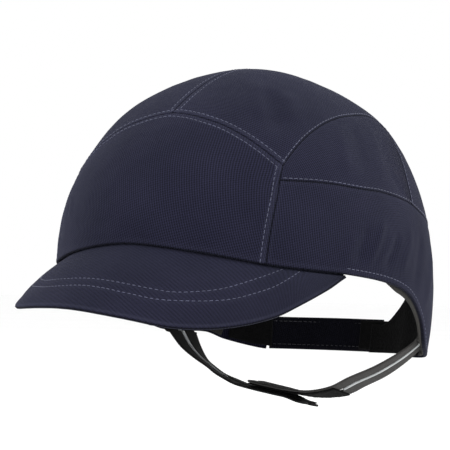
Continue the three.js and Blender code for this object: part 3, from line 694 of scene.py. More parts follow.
def twill(name, colour, pale, wale=1.25, steep=3.4, sheen=0.04):
    """Cotton twill: steep diagonal wales broken by the weft, slubs, fading, rubbed seams, and
    painted shade in seam grooves and on inner faces.
    """
    shader = Shader(name, 0.9, 0.08, sheen, (0.6, 0.66, 1.0))
    weave = shader.mark("weave", "Vector")
    even = math.sqrt(2) / math.hypot(steep, 1)
    stretched = shader.add("ShaderNodeMapping", {"Vector": weave,
                                                 "Scale": (steep * even, even, 1)})
    turned = shader.add("ShaderNodeMapping", {"Vector": weave, "Scale": (-0.5, 1.3, 1)})
    bands = {"Vector": stretched.outputs[0], "Scale": 0.444 / wale, "Distortion": 0.35,
             "Detail": 2.0, "Detail Scale": 1.5}
    wales = shader.add("ShaderNodeTexWave", bands, bands_direction="DIAGONAL").outputs["Fac"]
    picks = {"Vector": turned.outputs[0], "Scale": 0.444 / wale, "Distortion": 0.2}
    weft = shader.add("ShaderNodeTexWave", picks, bands_direction="DIAGONAL").outputs["Fac"]
    slub = shader.noise(weave, 0.55, 4.0)
    grain = shader.noise(weave, 2.6, 2.0)
    fade = shader.noise(shader.place(), 22.0, 4.0)
    yarn = shader.math("ADD", shader.math("MULTIPLY", wales, 0.65),
                       shader.math("MULTIPLY", weft, 0.35))
    shade = shader.math("ADD", shader.math("MULTIPLY", yarn, 0.7),
                        shader.math("MULTIPLY", grain, 0.3))
    body = shader.ramp(shade, 0.25, 0.75, tinted(colour, 0.4), tinted(colour, 1.7))
    faded = shader.ramp(fade, 0.35, 0.7, (0.78, 0.79, 0.82), (1.28, 1.25, 1.18))
    body = shader.blend(1.0, body, faded, "MULTIPLY")
    slubbed = shader.ramp(slub, 0.4, 0.75, (0.94, 0.94, 0.94), (1.12, 1.12, 1.1))
    body = shader.blend(1.0, body, slubbed, "MULTIPLY")
    rubbed = shader.math("MULTIPLY", shader.mark("rubbing_and_shade"), shader.math("ADD", slub, 0.1))
    body = shader.blend(shader.math("MULTIPLY", shader.math("MAXIMUM", rubbed, 0.0), 0.5),
                        body, pale)
    # Painted shade: where the mark falls below zero, in seam grooves, at the peak's edge and root
    # and on inner faces, the cloth is darkened towards near black
    painted_shade = shader.math("MINIMUM", shader.math("MULTIPLY", shader.mark("rubbing_and_shade"), -0.5), 0.7)
    body = shader.blend(shader.math("MAXIMUM", painted_shade, 0.0), body, tinted(colour, 0.15))
    height = shader.math("ADD", yarn, shader.math("MULTIPLY", slub, 0.5))
    rough = shader.add("ShaderNodeMapRange", {"Value": slub, "To Min": 0.82, "To Max": 0.97})
    return shader.finish(body, height, 2.6e-4, 0.9, rough.outputs["Result"])


def ribbed(name, colour, rib, sheen=0.1, contrast=0.4):
    """Ribbed webbing: cross ribs, a fine lengthways yarn, and fluff."""
    shader = Shader(name, 0.85, 0.2, sheen)
    weave = shader.mark("weave", "Vector")
    ribs = {"Vector": weave, "Scale": 0.314 / rib, "Distortion": 0.3}
    across = shader.add("ShaderNodeTexWave", ribs, bands_direction="X").outputs["Fac"]
    yarns = {"Vector": weave, "Scale": 0.314 / 0.45, "Distortion": 0.5}
    lengthways = shader.add("ShaderNodeTexWave", yarns, bands_direction="Y").outputs["Fac"]
    fluff = shader.noise(weave, 2.2, 4.0)
    soil = shader.noise(shader.place(), 40.0, 3.0)
    yarn = shader.math("ADD", shader.math("MULTIPLY", across, 0.6),
                       shader.math("MULTIPLY", lengthways, 0.4))
    shade = shader.math("ADD", shader.math("MULTIPLY", yarn, 0.6),
                        shader.math("MULTIPLY", fluff, 0.4))
    body = shader.ramp(shade, 0.25, 0.75, tinted(colour, 1 - contrast), tinted(colour, 1 + contrast))
    soiled = shader.ramp(soil, 0.35, 0.7, (0.82, 0.8, 0.78), (1.1, 1.1, 1.1))
    body = shader.blend(1.0, body, soiled, "MULTIPLY")
    rough = shader.add("ShaderNodeMapRange", {"Value": fluff, "To Min": 0.75, "To Max": 0.95})
    return shader.finish(body, yarn, 2e-4, 0.7, rough.outputs["Result"])


def fleecy(name, colour, size, depth, sheen=0.25):
    """A matt pile of loops or fluff, such as towelling or hook-and-loop tape."""
    shader = Shader(name, 0.95, 0.1, sheen)
    where = shader.place()
    cells = shader.add("ShaderNodeTexVoronoi", {"Vector": where, "Scale": 1 / (size * MM)})
    fluff = shader.noise(where, 0.5 / (size * MM), 5.0)
    patches = shader.noise(where, 60.0, 2.0)
    shade = shader.math("ADD", shader.math("MULTIPLY", cells.outputs["Distance"], 0.7),
                        shader.math("MULTIPLY", fluff, 0.6))
    body = shader.ramp(shade, 0.2, 0.95, tinted(colour, 1.5), tinted(colour, 0.55))
    uneven = shader.ramp(patches, 0.35, 0.65, (0.85, 0.85, 0.85), (1.15, 1.15, 1.15))
    body = shader.blend(1.0, body, uneven, "MULTIPLY")
    height = shader.math("SUBTRACT", fluff, cells.outputs["Distance"])
    rough = shader.add("ShaderNodeMapRange", {"Value": fluff, "To Min": 0.85, "To Max": 1.0})
    return shader.finish(body, height, depth * MM, 0.8, rough.outputs["Result"])


def moulded(name, colour, grain, roughness):
    """Moulded plastic or foam skin: a fine grain, faint flow marks and scuffs."""
    shader = Shader(name, roughness, 0.45)
    where = shader.place()
    fine = shader.noise(where, 1 / (grain * MM), 3.0)
    flow = shader.noise(where, 25.0, 4.0)
    scuffs = shader.add("ShaderNodeMapping", {"Vector": where, "Scale": (30, 300, 90)})
    scuff = shader.noise(scuffs.outputs[0], 3.0, 4.0)
    body = shader.ramp(flow, 0.35, 0.7, tinted(colour, 0.85), tinted(colour, 1.15))
    body = shader.blend(shader.ramp_value(scuff, 0.62, 0.75, 0.5), body, tinted(colour, 2.0))
    rough = shader.add("ShaderNodeMapRange", {"Value": fine, "To Min": roughness - 0.1,
                                              "To Max": roughness + 0.12})
    return shader.finish(body, fine, 8e-5, 0.5, rough.outputs["Result"])


def sewing_thread(name, colour):
    """Twisted thread, with its plies seen as fine bands."""
    shader = Shader(name, 0.6, 0.35, 0.1)
    where = shader.place()
    plies = {"Vector": where, "Scale": 1400.0, "Distortion": 1.0}
    band = shader.add("ShaderNodeTexWave", plies, bands_direction="DIAGONAL").outputs["Fac"]
    uneven = shader.noise(where, 90.0, 2.0)
    body = shader.ramp(band, 0.1, 0.9, tinted(colour, 0.75), tinted(colour, 1.2))
    body = shader.blend(1.0, body, shader.ramp(uneven, 0.35, 0.65, (0.8,) * 3, (1.2,) * 3),
                        "MULTIPLY")
    return shader.finish(body, band, 5e-5, 0.5)


def reflective(name, colour):
    """Reflective piping: tiny glass beads in a pale grey coat."""
    shader = Shader(name, 0.35, 0.6)
    where = shader.place()
    beads = shader.add("ShaderNodeTexVoronoi", {"Vector": where, "Scale": 5000.0})
    dirt = shader.noise(where, 120.0, 4.0)
    body = shader.ramp(dirt, 0.35, 0.75, tinted(colour, 1.0), tinted(colour, 0.7))
    rough = shader.add("ShaderNodeMapRange", {"Value": dirt, "To Min": 0.28, "To Max": 0.5})
    return shader.finish(body, beads.outputs["Distance"], 6e-5, 0.5, rough.outputs["Result"])


NAVY = (0.0056, 0.0056, 0.0138)
navy_twill = twill("navy_twill", NAVY, (0.028, 0.029, 0.048))
inner_twill = twill("inner_twill", (0.0018, 0.0018, 0.0042), (0.008, 0.008, 0.014), sheen=0.01)
navy_thread = sewing_thread("navy_thread", (0.040, 0.044, 0.078))
dark_thread = sewing_thread("dark_thread", (0.005, 0.005, 0.010))
black_facing = fleecy("black_facing", (0.0016, 0.0016, 0.0018), 0.5, 0.25, 0.01)
grey_tape = ribbed("grey_tape", (0.016, 0.0155, 0.014), 0.75, 0.03)
webbing = ribbed("strap_webbing", (0.030, 0.029, 0.028), 0.8, 0.05)
dark_webbing = ribbed("dark_webbing", (0.005, 0.005, 0.005), 0.8, 0.02)
piping_beads = reflective("reflective_piping", (0.50, 0.52, 0.53))
board_plastic = moulded("peak_board_plastic", (0.045, 0.048, 0.055), 0.6, 0.6)
shell_plastic = moulded("shell_plastic", (0.028, 0.030, 0.035), 0.5, 0.42)
foam_skin = fleecy("foam_cover", (0.032, 0.034, 0.040), 0.7, 0.12, 0.1)
towelling = fleecy("towelling", (0.024, 0.026, 0.034), 0.9, 0.45, 0.3)

# ---- Crown panels --------------------------------------------------------------------------


def mirrored(side):
    return (lambda line: line) if side == "left" else flipped


def tail_end(side):
    foot = TAIL_END[0] if side == "left" else (TAIL_END[0][0], RIGHT_TAIL_FOOT)
    return seam([foot, *TAIL_END[1:]])


def crown_panels():
    bottom = along(-TEMPLE_SEAM[0][0], TEMPLE_SEAM[0][0], rim_height)
    place = cut(bottom, FRONT_ARC, flipped(TEMPLE_LINE), TEMPLE_LINE)
    seams = {"start": "lapped", "end": "lapped", "top": "felled", "bottom": "rolled"}
    cloth_panel("front_panel", place, (150, 78), seams)
    for side in ("left", "right"):
        turn = mirrored(side)
        outer = joined(ARCH_LINE, along(ARCH_FOOT, SIDE_SEAM_END, side_height), ARCH_SHARE)
        place = cut(turn(outer), turn(CENTRE_LINE), turn(backwards(FRONT_LINE)),
                    turn(REAR_LINE))
        seams = {"start": "felled", "top": "felled", "bottom": "stitched", "end": "hem"}
        cloth_panel(f"crown_panel_{side}", place, (210, 88), seams)
        bottom = along(TEMPLE_FORK, ARCH_FOOT - 1, side_height)
        start = straight(bottom(0.0), ARCH_LINE(0.0))
        end = straight(bottom(1.0), ARCH_LINE(1.0))
        place = cut(turn(bottom), turn(ARCH_LINE), turn(start), turn(end))
        seams = {"start": "tucked", "top": "tucked", "bottom": "stitched", "end": "tucked"}
        cloth_panel(f"side_upper_{side}", place, (100, 42), seams)
        bottom = along(TEMPLE_SEAM[0][0], TAIL_END[0][0], rim_of(side))
        place = cut(turn(bottom), turn(SIDE_LINE), turn(seam(TEMPLE_SEAM[:-1])),
                    turn(tail_end(side)))
        seams = {"start": "tucked", "top": "tucked", "bottom": "hem", "end": "hem"}
        cloth_panel(f"side_lower_{side}", place, (200, 62), seams)


HEM_STITCH, DOUBLE_STITCH, LAP_STITCH, EDGE_STITCH = 2.8, 2.9, 3.0, 1.2


def crown_stitching():
    rows = [crown_stitches(CENTRE_LINE, o, "felled", 0.015, 0.985)
            for o in (-DOUBLE_STITCH, DOUBLE_STITCH)]
    thread_piece("centre_seam_stitches", rows, navy_thread)
    rows = [crown_stitches(FRONT_ARC, o, "felled", 0.004, 0.996)
            for o in (-DOUBLE_STITCH, DOUBLE_STITCH)]
    thread_piece("front_seam_stitches", rows, navy_thread)
    for side, sign in (("left", 1), ("right", -1)):
        turn = mirrored(side)
        rows = [crown_stitches(turn(TEMPLE_LINE), -sign * LAP_STITCH, "lapped", 0, 0.97)]
        thread_piece(f"temple_seam_stitches_{side}", rows, navy_thread)
        rows = [crown_stitches(turn(ARCH_LINE), -sign * EDGE_STITCH, "stitched", 0.01, 0.99)]
        thread_piece(f"arch_seam_stitches_{side}", rows, navy_thread)
        rows = [crown_stitches(turn(SIDE_LINE), -sign * EDGE_STITCH, "stitched", 0.01, 0.99)]
        thread_piece(f"side_seam_stitches_{side}", rows, navy_thread)
        hem = along(66, 148.5, rim_of(side))
        tail = tail_end(side)
        rows = [crown_stitches(turn(hem), -sign * HEM_STITCH, "hem", 0, 0.985),
                crown_stitches(turn(tail), -sign * HEM_STITCH, "hem", 0.05, 0.97),
                crown_stitches(turn(REAR_LINE), -sign * HEM_STITCH, "hem", 0.03, 0.99)]
        thread_piece(f"hem_stitches_{side}", rows, navy_thread)


# ---- Peak ----------------------------------------------------------------------------------

PEAK_CURVE = curve_through(np.array(PEAK_EDGE, float), centripetal=True)
# The two rows of stitches: distance from the middle as a share of the peak's width, and share
# of the way from the hem to the edge
PEAK_ROWS = ([(0, 0.634), (0.13, 0.635), (0.183, 0.591), (0.234, 0.515), (0.29, 0.351),
              (0.333, 0.17), (0.363, 0)],
             [(0, 0.73), (0.113, 0.746), (0.168, 0.712), (0.21, 0.689), (0.247, 0.664),
              (0.289, 0.592), (0.34, 0.452), (0.375, 0.25), (0.4, 0)])
PEAK_ROLL = 1.6  # how far from the edge the cloth starts to roll over it
TUCK = 7.0  # how far the covers go up behind the hem
TUCK_ROWS = 5
PEAK_END = 16.0  # over what length the peak thins out towards its two ends


def row_share(row, u):
    return height_at(row, np.abs(np.asarray(u) - 0.5))


def peak_top(u, w):
    bearing = mix(-PEAK_ROOT_END, PEAK_ROOT_END, u)
    root = below_crown(disc(bearing, rim_height(bearing) - PEAK_ROOT_DROP),
                       np.full(np.shape(u), PEAK_ROOT_DEPTH))
    point = mix(root, PEAK_CURVE(np.clip(u, 0, 1)), w[..., None])
    point[..., 2] += PEAK_CAMBER * np.sin(math.pi * w) * np.sin(math.pi * u)
    return point


def peak_normal(u, w):
    step = 5e-3
    across = peak_top(np.minimum(u + step, 1), w) - peak_top(np.maximum(u - step, 0), w)
    outward = peak_top(u, w + step) - peak_top(u, w - step)
    return unit(np.cross(across, outward)) * -1


def peak_lie(points, seam_distance):
    """The lie of the peak's cloth: a little unevenness, and the pull of its two rows."""
    lift = 0.28 * roughness(points, 22) + 0.08 * roughness(points, 6)
    for distance in seam_distance:
        lift = lift - 0.32 * np.exp(-((distance / 0.7) ** 2))
    return lift


def peak_thickness(w, ends):
    tapered = mix(1, PEAK_EDGE_SHARE, w * w)
    return PEAK_THICKNESS * tapered * mix(0.15, 1, smooth(0, PEAK_END, ends))


def tuck(u, facing_up):
    """Rows of the cover that go up behind the hem: outer and inner points, the top row first."""
    bearing = mix(-PEAK_ROOT_END, PEAK_ROOT_END, u)
    rise = TUCK if facing_up else TUCK / 2
    heights = rim_height(bearing) - PEAK_ROOT_DROP + rise * np.linspace(1, 0.1, TUCK_ROWS)[:, None]
    places = disc(np.broadcast_to(bearing, heights.shape), heights)
    depth = 1.8 if facing_up else 2.7
    return [below_crown(places, np.full(heights.shape, d)) for d in (depth, depth + 0.4)]


def peak_cloth(name, node, facing_up, material):
    """One cover of the peak, from behind the hem to the seam round the edge of its board."""
    columns = shares(250, 1.6)
    u, w = np.meshgrid(columns, np.concatenate([np.linspace(0, 0.9, 44),
                                                1 - 0.1 * (1 - np.linspace(0, 1, 20)[1:]) ** 2]))
    surface, normal = peak_top(u, w), peak_normal(u, w)
    sides = distances(surface)
    ends = np.minimum(sides["start"], sides["end"])
    gap = np.minimum(sides["top"], ends * 0.9 + 0.01)
    thickness = peak_thickness(w, ends)
    roll = (thickness / 2 + 0.1) * round_over(gap / PEAK_ROLL)
    rows = [(w - row_share(row, u)) * sides["bottom"][-1:] for row in PEAK_ROWS]
    if facing_up:
        outer = -roll + peak_lie(surface, rows)
        inner = outer - 0.6
    else:
        outer = -thickness + roll + 0.5 * peak_lie(surface, rows)
        inner = outer + 0.5
    points = [surface + normal * depth[..., None] for depth in (outer, inner)]
    points = [np.concatenate([extra, p]) for extra, p in zip(tuck(columns, facing_up), points)]
    above = np.zeros((TUCK_ROWS, len(columns)))
    upward = np.concatenate([above - 1, sides["bottom"]])
    weave = np.stack([np.concatenate([above, sides["start"]]), upward, 0 * upward], -1)
    weave = weave.reshape(-1, 3)
    # Pale where the edge and the stitch rows rub the cloth; painted shade where it rolls over the
    # edge, near its root under the hem, and on the part tucked behind the hem
    rubbing_and_shade = 0.9 * smooth(0.1, 1.0, gap) * (1 - smooth(1.2, 2.6, gap)) - (1 - smooth(0, 0.4, gap))
    rubbing_and_shade = rubbing_and_shade + sum(0.25 * np.exp(-(((abs(r) - 1.1) / 0.8) ** 2)) for r in rows)
    rubbing_and_shade = np.concatenate([above - 1, rubbing_and_shade - 1.2 * (1 - smooth(0.2, 2.2, sides["bottom"]))])
    marks = {"weave": np.concatenate([weave, weave]), "rubbing_and_shade": np.tile(rubbing_and_shade.ravel(), 2)}
    faces = closed_faces(len(columns), len(w) + TUCK_ROWS)
    if not facing_up:
        faces = [tuple(reversed(face)) for face in faces]
    piece = make_piece(name, np.concatenate([p.reshape(-1, 3) for p in points]), faces,
                       material, CAP, [node], marks)


def peak():
    peak_cloth("peak_top_cloth", "peak_top_cover", True, navy_twill)
    peak_cloth("peak_under_cloth", "peak_under_cover", False, inner_twill)
    rows = []
    for row in PEAK_ROWS:
        reach = row[-1][0] - 0.004
        u = np.linspace(0.5 - reach, 0.5 + reach, 400)
        route = peak_top(u, row_share(row, u))
        centres, directions = resampled(route, STITCH + STITCH_GAP)
        near = np.interp(centres[:, 0], route[:, 0], u)
        w = row_share(row, near)
        on_cloth, normals = peak_top(near, w), peak_normal(near, w)
        lift = peak_lie(on_cloth, [np.zeros(near.shape)]) + 0.04
        rows.append(stitch_row(on_cloth + normals * lift[:, None], directions, normals, STITCH_SINK))
    thread_piece("peak_stitches", rows, navy_thread)
    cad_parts["peak_board"].data.materials.clear()
    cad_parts["peak_board"].data.materials.append(board_plastic)


# ---- Tapes and flat pieces on the crown ----------------------------------------------------


STRIP_ROUND = 0.8  # how far from its edge a strip starts to round over, in mm


def crown_strip(name, node, place, size, depths, material, body=CAP, rib=0.0, edge=0.35,
                steps=(0.4, 1.2), fluff=0.0, extra=None):
    """A flat strip on the crown with rounded edges, ribs across it or a fluffy face."""
    s, t = np.meshgrid(np.linspace(0, 1, int(size[0] / steps[0])),
                       np.concatenate([[0, 0.03, 0.07], np.linspace(0.12, 0.88, max(
                           4, int(size[1] / steps[1]))), [0.93, 0.97, 1]]))
    places = place(s, t)
    surface, normal = crown_point(places), crown_normal(places)
    away = distances(surface)
    outer_depth, inner_depth = depths(s, t) if callable(depths) else depths
    near = np.minimum.reduce(list(away.values()))
    round_off = edge * round_over(near / STRIP_ROUND)
    ribs = rib * np.cos(away["start"] * 2 * math.pi / 1.5)
    rough = np.zeros(s.shape)
    if fluff:
        rough = fluff * roughness(surface, 1.1)
    if extra is not None:
        outer_depth, inner_depth = outer_depth - extra(s, t), inner_depth - extra(s, t)
    outer = surface - normal * (outer_depth + round_off - ribs - rough)[..., None]
    inner = surface - normal * (inner_depth - round_off + ribs + rough)[..., None]
    weave = np.stack([away["start"], away["bottom"], np.zeros(s.shape)], -1).reshape(-1, 3)
    marks = {"weave": np.tile(weave, (2, 1)), "rubbing_and_shade": np.zeros(2 * s.size)}
    piece = plate(name, outer, inner, material, body, [node], marks)
    stretched(piece, surface, away, "side_lower_left_cloth")


def tape_place(line, edges):
    return lambda s, t: beside(line, s, mix(edges[0], edges[1], t))


def hem_tape_place(line, sign):
    """The tape inside the hem, proud of it by the ear only."""
    inside, proud = HEM_TAPE_EDGES

    def place(s, t):
        shown = smooth(-0.02, 0.16, s) * (1 - smooth(0.5, 0.6, s))
        edges = [sign * inside, sign * (mix(-1, proud, shown))]
        return beside(line, s, mix(*edges[::int(sign)], t))
    return place


def tapes():
    for side, sign in (("left", 1), ("right", -1)):
        hem = along(*HEM_TAPE_BEARINGS, rim_of(side))
        crown_strip(f"hem_tape_{side}_webbing", f"hem_tape_{side}",
                    hem_tape_place(mirrored(side)(hem), sign), (95, 12), TAPE, grey_tape,
                    rib=0.09, steps=(0.3, 1.0))
    half = seam([OPENING_CORNER, *REAR_ARCH])
    opening = joined(half, flipped(backwards(half)), 0.5)
    crown_strip("rear_opening_binding", "rear_opening_tape",
                tape_place(opening, OPENING_TAPE_EDGES), (150, 9), TAPE, inner_twill,
                steps=(1.2, 1.0))


def facing_place(foot, top):
    first, last = top[0][0], top[-1][0]
    bottom = along(first, last, lambda bearing: height_at(foot, bearing))
    upper = along(first, last, lambda bearing: height_at(top, bearing))
    return lambda s, t: mix(bottom(s), upper(s), t[..., None])


def facing_depths(top, ease):
    def depths(s, t):
        outer = TAPE[0] + ease * smooth(*FACING_EASE_BEARINGS, mix(top[0][0], top[-1][0], s))
        return outer, outer + 1
    return depths


def band_place(ends, heights):
    return lambda s, t: disc(mix(ends[0], ends[1], s), mix(heights[0], heights[1], t))


BAND_WAVE = 0.9  # how far the closed band waves in and out, in mm


def band_wave(s, t):
    return BAND_WAVE * np.sin(s * 7.5 + 0.6) * smooth(0, 0.2, s) * (1 - smooth(0.75, 0.95, s)) * t


def closure():
    crown_strip("closure_loop_tab_pile", "closure_loop_tab", facing_place(FACING_FOOT, LOOP_TAB_TOP),
                (62, 40), facing_depths(LOOP_TAB_TOP, LOOP_TAB_EASE), black_facing,
                steps=(0.7, 0.8), fluff=0.22)
    place = facing_place(RIGHT_FACING_FOOT, FACING_TOP)
    crown_strip("tail_facing_right_cloth", "tail_facing_right",
                lambda s, t: place(s, t) * [-1, 1], (32, 36),
                facing_depths(FACING_TOP, REAR_FACING_EASE), black_facing,
                steps=(0.7, 0.8), fluff=0.15)
    crown_strip("closure_band_cloth", "closure_band", band_place(BAND_ENDS, BAND_HEIGHTS),
                (88, 16), BAND, inner_twill, body="closure",
                steps=(1.0, 0.8), edge=0.6, extra=band_wave)
    crown_strip("closure_hook_tab_pile", "closure_hook_tab",
                band_place(HOOK_TAB_ENDS, HOOK_TAB_HEIGHTS), (42, 14), HOOK_TAB, black_facing,
                body="closure", steps=(0.7, 0.8), fluff=0.18)
    rows = []
    for height in (mix(*BAND_HEIGHTS, 0.14), mix(*BAND_HEIGHTS, 0.86)):
        bearing = np.linspace(BAND_ENDS[0] - 1, BAND_ENDS[1] + 1, 120)
        for depth, sign in ((BAND[0], 1), (BAND[1], -1)):
            places = disc(bearing, height)
            centres, directions = resampled(below_crown(places, np.full(120, depth)),
                                            STITCH + STITCH_GAP)
            normals = crown_normal(disc_near(centres)) * sign
            rows.append(stitch_row(centres + normals * 0.05, directions, normals, 0.4))
    thread_piece("closure_band_stitches", rows, dark_thread, "closure")


# ---- Shell, pads and sweatband -------------------------------------------------------------


def bump_shell():
    """The moulded shell, with its vents cut and its rim rounded."""
    sectors, rings = 180, 60
    bearing = np.linspace(0, 360, sectors, endpoint=False)
    rim = np.linalg.norm(disc(bearing, height_at(SHELL_RIM, bearing)), axis=-1)
    points, faces = [], []
    for face, depth in enumerate(SHELL):
        points.append(below_crown(np.zeros((1, 2)), np.full(1, depth)))
        for j in range(1, rings + 1):
            share = j / rings
            radius = rim * share
            places = np.stack([radius * np.sin(np.radians(bearing)),
                               -radius * np.cos(np.radians(bearing))], -1)
            round_off = 0.7 * smooth(0.985, 1.0, share) * (1 if face == 0 else -1)
            points.append(below_crown(places, np.full(sectors, depth + round_off)))
    per = 1 + sectors * rings

    def index(i, j, face):
        return face * per + (0 if j == 0 else 1 + (j - 1) * sectors + i % sectors)
    for i in range(sectors):
        faces.append((index(0, 0, 0), index(i, 1, 0), index(i + 1, 1, 0)))
        faces.append((index(0, 0, 1), index(i + 1, 1, 1), index(i, 1, 1)))
        for j in range(1, rings):
            quad = [(i, j), (i, j + 1), (i + 1, j + 1), (i + 1, j)]
            faces.append(tuple(index(a, b, 0) for a, b in quad))
            faces.append(tuple(index(a, b, 1) for a, b in reversed(quad)))
        faces.append((index(i, rings, 0), index(i, rings, 1), index(i + 1, rings, 1),
                      index(i + 1, rings, 0)))
    shell = make_piece("bump_shell_moulding", np.concatenate(points), faces, shell_plastic, None)
    drills = []
    for bearing, height in VENTS + [(-b, h) for b, h in VENTS]:
        place = disc(bearing, height)
        bpy.ops.mesh.primitive_cylinder_add(vertices=32, radius=VENT_RADIUS * MM, depth=0.016)
        drill = bpy.context.object
        toward = Vector(crown_normal(place)).to_track_quat("Z", "Y").to_matrix().to_4x4()
        centre = Vector(below_crown(place, SHELL[0]) * MM)
        drill.matrix_world = Matrix.Translation(centre) @ toward
        cutter = shell.modifiers.new("vent", "BOOLEAN")
        cutter.operation, cutter.solver, cutter.object = "DIFFERENCE", "EXACT", drill
        drills.append(drill)
    depsgraph = bpy.context.evaluated_depsgraph_get()
    drilled = bpy.data.meshes.new_from_object(shell.evaluated_get(depsgraph))
    shell.modifiers.clear()
    shell.data = drilled
    for drill in drills:
        bpy.data.objects.remove(drill)
    stands_for(shell, "bump_shell")


PLUMP_FRAMES = 14


def plump(piece, pinned, pressure, limit):
    """Swells a padded piece by a short cloth simulation, moving no point more than limit mm."""
    scene = bpy.context.scene
    rest = np.array([v.co for v in piece.data.vertices])
    group = piece.vertex_groups.new(name="sewn")
    group.add([int(i) for i in np.flatnonzero(pinned)], 1.0, "REPLACE")
    cloth = piece.modifiers.new("plump", "CLOTH")
    cloth.settings.quality = 6
    cloth.settings.mass = 0.2
    cloth.settings.tension_stiffness = cloth.settings.compression_stiffness = 8
    cloth.settings.bending_stiffness = 0.3
    cloth.settings.vertex_group_mass = "sewn"
    cloth.settings.use_pressure = True
    cloth.settings.uniform_pressure_force = pressure
    cloth.settings.effector_weights.gravity = 0
    cloth.collision_settings.use_collision = False
    scene.frame_start, scene.frame_end = 1, PLUMP_FRAMES
    for step in range(1, PLUMP_FRAMES + 1):
        scene.frame_set(step)
    swollen = piece.evaluated_get(bpy.context.evaluated_depsgraph_get())
    moved = np.array([v.co for v in swollen.data.vertices]) - rest
    length = np.linalg.norm(moved, axis=1, keepdims=True)
    moved *= np.minimum(1, limit * MM / np.maximum(length, 1e-9))
    piece.modifiers.clear()
    piece.data.vertices.foreach_set("co", (rest + moved).astype(np.float32).ravel())
    piece.data.update()
    piece.vertex_groups.clear()
    scene.frame_set(1)


def padded_strip(name, node, place, size, depths, material, channels, swell):
    """A pad on the inside of the crown: crowned, pulled in at its edge and its sewn channels."""
    s, t = np.meshgrid(np.linspace(0, 1, int(size[0] / 1.4)), np.linspace(0, 1, int(size[1] / 1.4)))
    places = place(s, t)
    surface, normal = crown_point(places), crown_normal(places)
    away = distances(surface)
    outer_depth, inner_depth = depths(s, t) if callable(depths) else depths
    thick = inner_depth - outer_depth
    near = np.minimum.reduce(list(away.values()))
    crowned = np.sqrt(np.clip(1 - (1 - np.clip(near / 4.0, 0, 1)) ** 2, 0, 1))
    pull = np.ones(s.shape)
    sewn = near < 0.3
    for channel in channels:
        gap = np.abs(s - channel) * size[0]
        pull = pull * (1 - 0.62 * np.exp(-((gap / 1.6) ** 2)))
        sewn = sewn | (gap < 0.9)
    inner = surface - normal * (outer_depth + 0.4 + (thick - 1.1) * crowned * pull)[..., None]
    outer = surface - normal * (outer_depth + 0.3 * (1 - crowned))[..., None]
    piece = plate(name, outer, inner, material, None)
    pinned = np.concatenate([np.ones(s.size, bool), sewn.ravel()])
    plump(piece, pinned, swell, 0.9)
    stands_for(piece, node)


def crown_pad():
    """The round pad under the apex, with a ring and four channels sewn into it."""
    sectors, rings = 96, 22
    bearing = np.linspace(0, 2 * math.pi, sectors, endpoint=False)
    points, faces, pinned = [], [], []
    for face in (0, 1):
        for j in range(rings + 1):
            share = max(j / rings, 1e-3)
            radius = CROWN_PAD_RADIUS * share
            places = np.stack([radius * np.sin(bearing), -radius * np.cos(bearing)], -1)
            gap = (1 - share) * CROWN_PAD_RADIUS * 100
            crowned = math.sqrt(max(0, 1 - (1 - min(gap / 4, 1)) ** 2))
            ring = math.exp(-(((share - 0.4) * 30 / 1.8) ** 2))
            spokes = np.exp(-((np.sin(2 * bearing) * share * 14 / 1.6) ** 2)) * (share > 0.4)
            pull = (1 - 0.6 * ring) * (1 - 0.6 * spokes)
            if face == 0:
                depth = np.full(sectors, PAD[0] + 0.3 * (1 - crowned))
            else:
                depth = PAD[0] + 0.4 + 3.9 * crowned * pull
            points.append(below_crown(places, depth))
            held = (share > 0.98) | (np.maximum(ring, spokes) > 0.8)
            pinned.append(np.full(sectors, True) if face == 0 else np.broadcast_to(held, sectors))
    per = sectors * (rings + 1)
    for face in (0, 1):
        for j in range(rings):
            for i in range(sectors):
                a, b = face * per + j * sectors, face * per + (j + 1) * sectors
                quad = (a + i, b + i, b + (i + 1) % sectors, a + (i + 1) % sectors)
                faces.append(quad if face == 0 else quad[::-1])
        centre = [face * per + i for i in range(sectors)]
        faces.append(tuple(centre if face == 0 else centre[::-1]))
    rim = rings * sectors
    faces += [(rim + i, per + rim + i, per + rim + (i + 1) % sectors, rim + (i + 1) % sectors)
              for i in range(sectors)]
    piece = make_piece("pad_crown_cushion", np.concatenate(points), faces, foam_skin, None)
    plump(piece, np.concatenate(pinned), 1.5, 0.8)
    stands_for(piece, "pad_crown")


def inside():
    bump_shell()
    for name, (left, right, low, high) in SIDE_PADS.items():
        padded_strip(f"{name}_cushion", name, band_place((left, right), (low, high)), (80, 32),
                     PAD, foam_skin, (1 / 3, 2 / 3), 1.5)
    crown_pad()

    def place(s, t):
        bearing = mix(-SWEATBAND_END, SWEATBAND_END, s)
        return disc(bearing, rim_height(bearing) + SWEATBAND_FOOT + SWEATBAND_HEIGHT * t)

    def depths(s, t):
        outer = mix(SWEATBAND_FOOT_DEPTH, PAD[0], smooth(0, 0.3, t))
        return outer, outer + SWEATBAND_THICKNESS + 0.6
    padded_strip("sweatband_towelling", "sweatband", place, (300, 29), depths, towelling,
                 (), 0.8)


# ---- Nape strap ----------------------------------------------------------------------------

PEEL, PEEL_LENGTH = 2.2, 16  # how far the free end of the outer half hangs off, and over what
STEP = 0.5


def along_strap(left, right, x):
    distance = np.abs(x - STRAP_LOW_X)
    return np.where(x > STRAP_LOW_X, height_at(left, distance), height_at(right, distance))


def strap_frame(x):
    """Centre, width direction and normal of the strap at each x, before its own thickness."""
    def height(at):
        return along_strap(LEFT_LINE, RIGHT_LINE, at)
    slope = (height(x + STEP) - height(x - STEP)) / (2 * STEP)
    normal = unit(np.stack([-slope, np.zeros(x.shape), np.ones(x.shape)], -1))
    yaw = np.radians(along_strap(LEFT_YAW, RIGHT_YAW, x))
    across = np.stack([-np.sin(yaw), np.cos(yaw), np.zeros(x.shape)], -1)
    roll = np.radians(along_strap(LEFT_ROLL, RIGHT_ROLL, x))[:, None]
    centre = np.stack([x, np.full(x.shape, float(STRAP_Y)), height(x)], -1)
    return (centre, across * np.cos(roll) - normal * np.sin(roll),
            normal * np.cos(roll) + across * np.sin(roll))


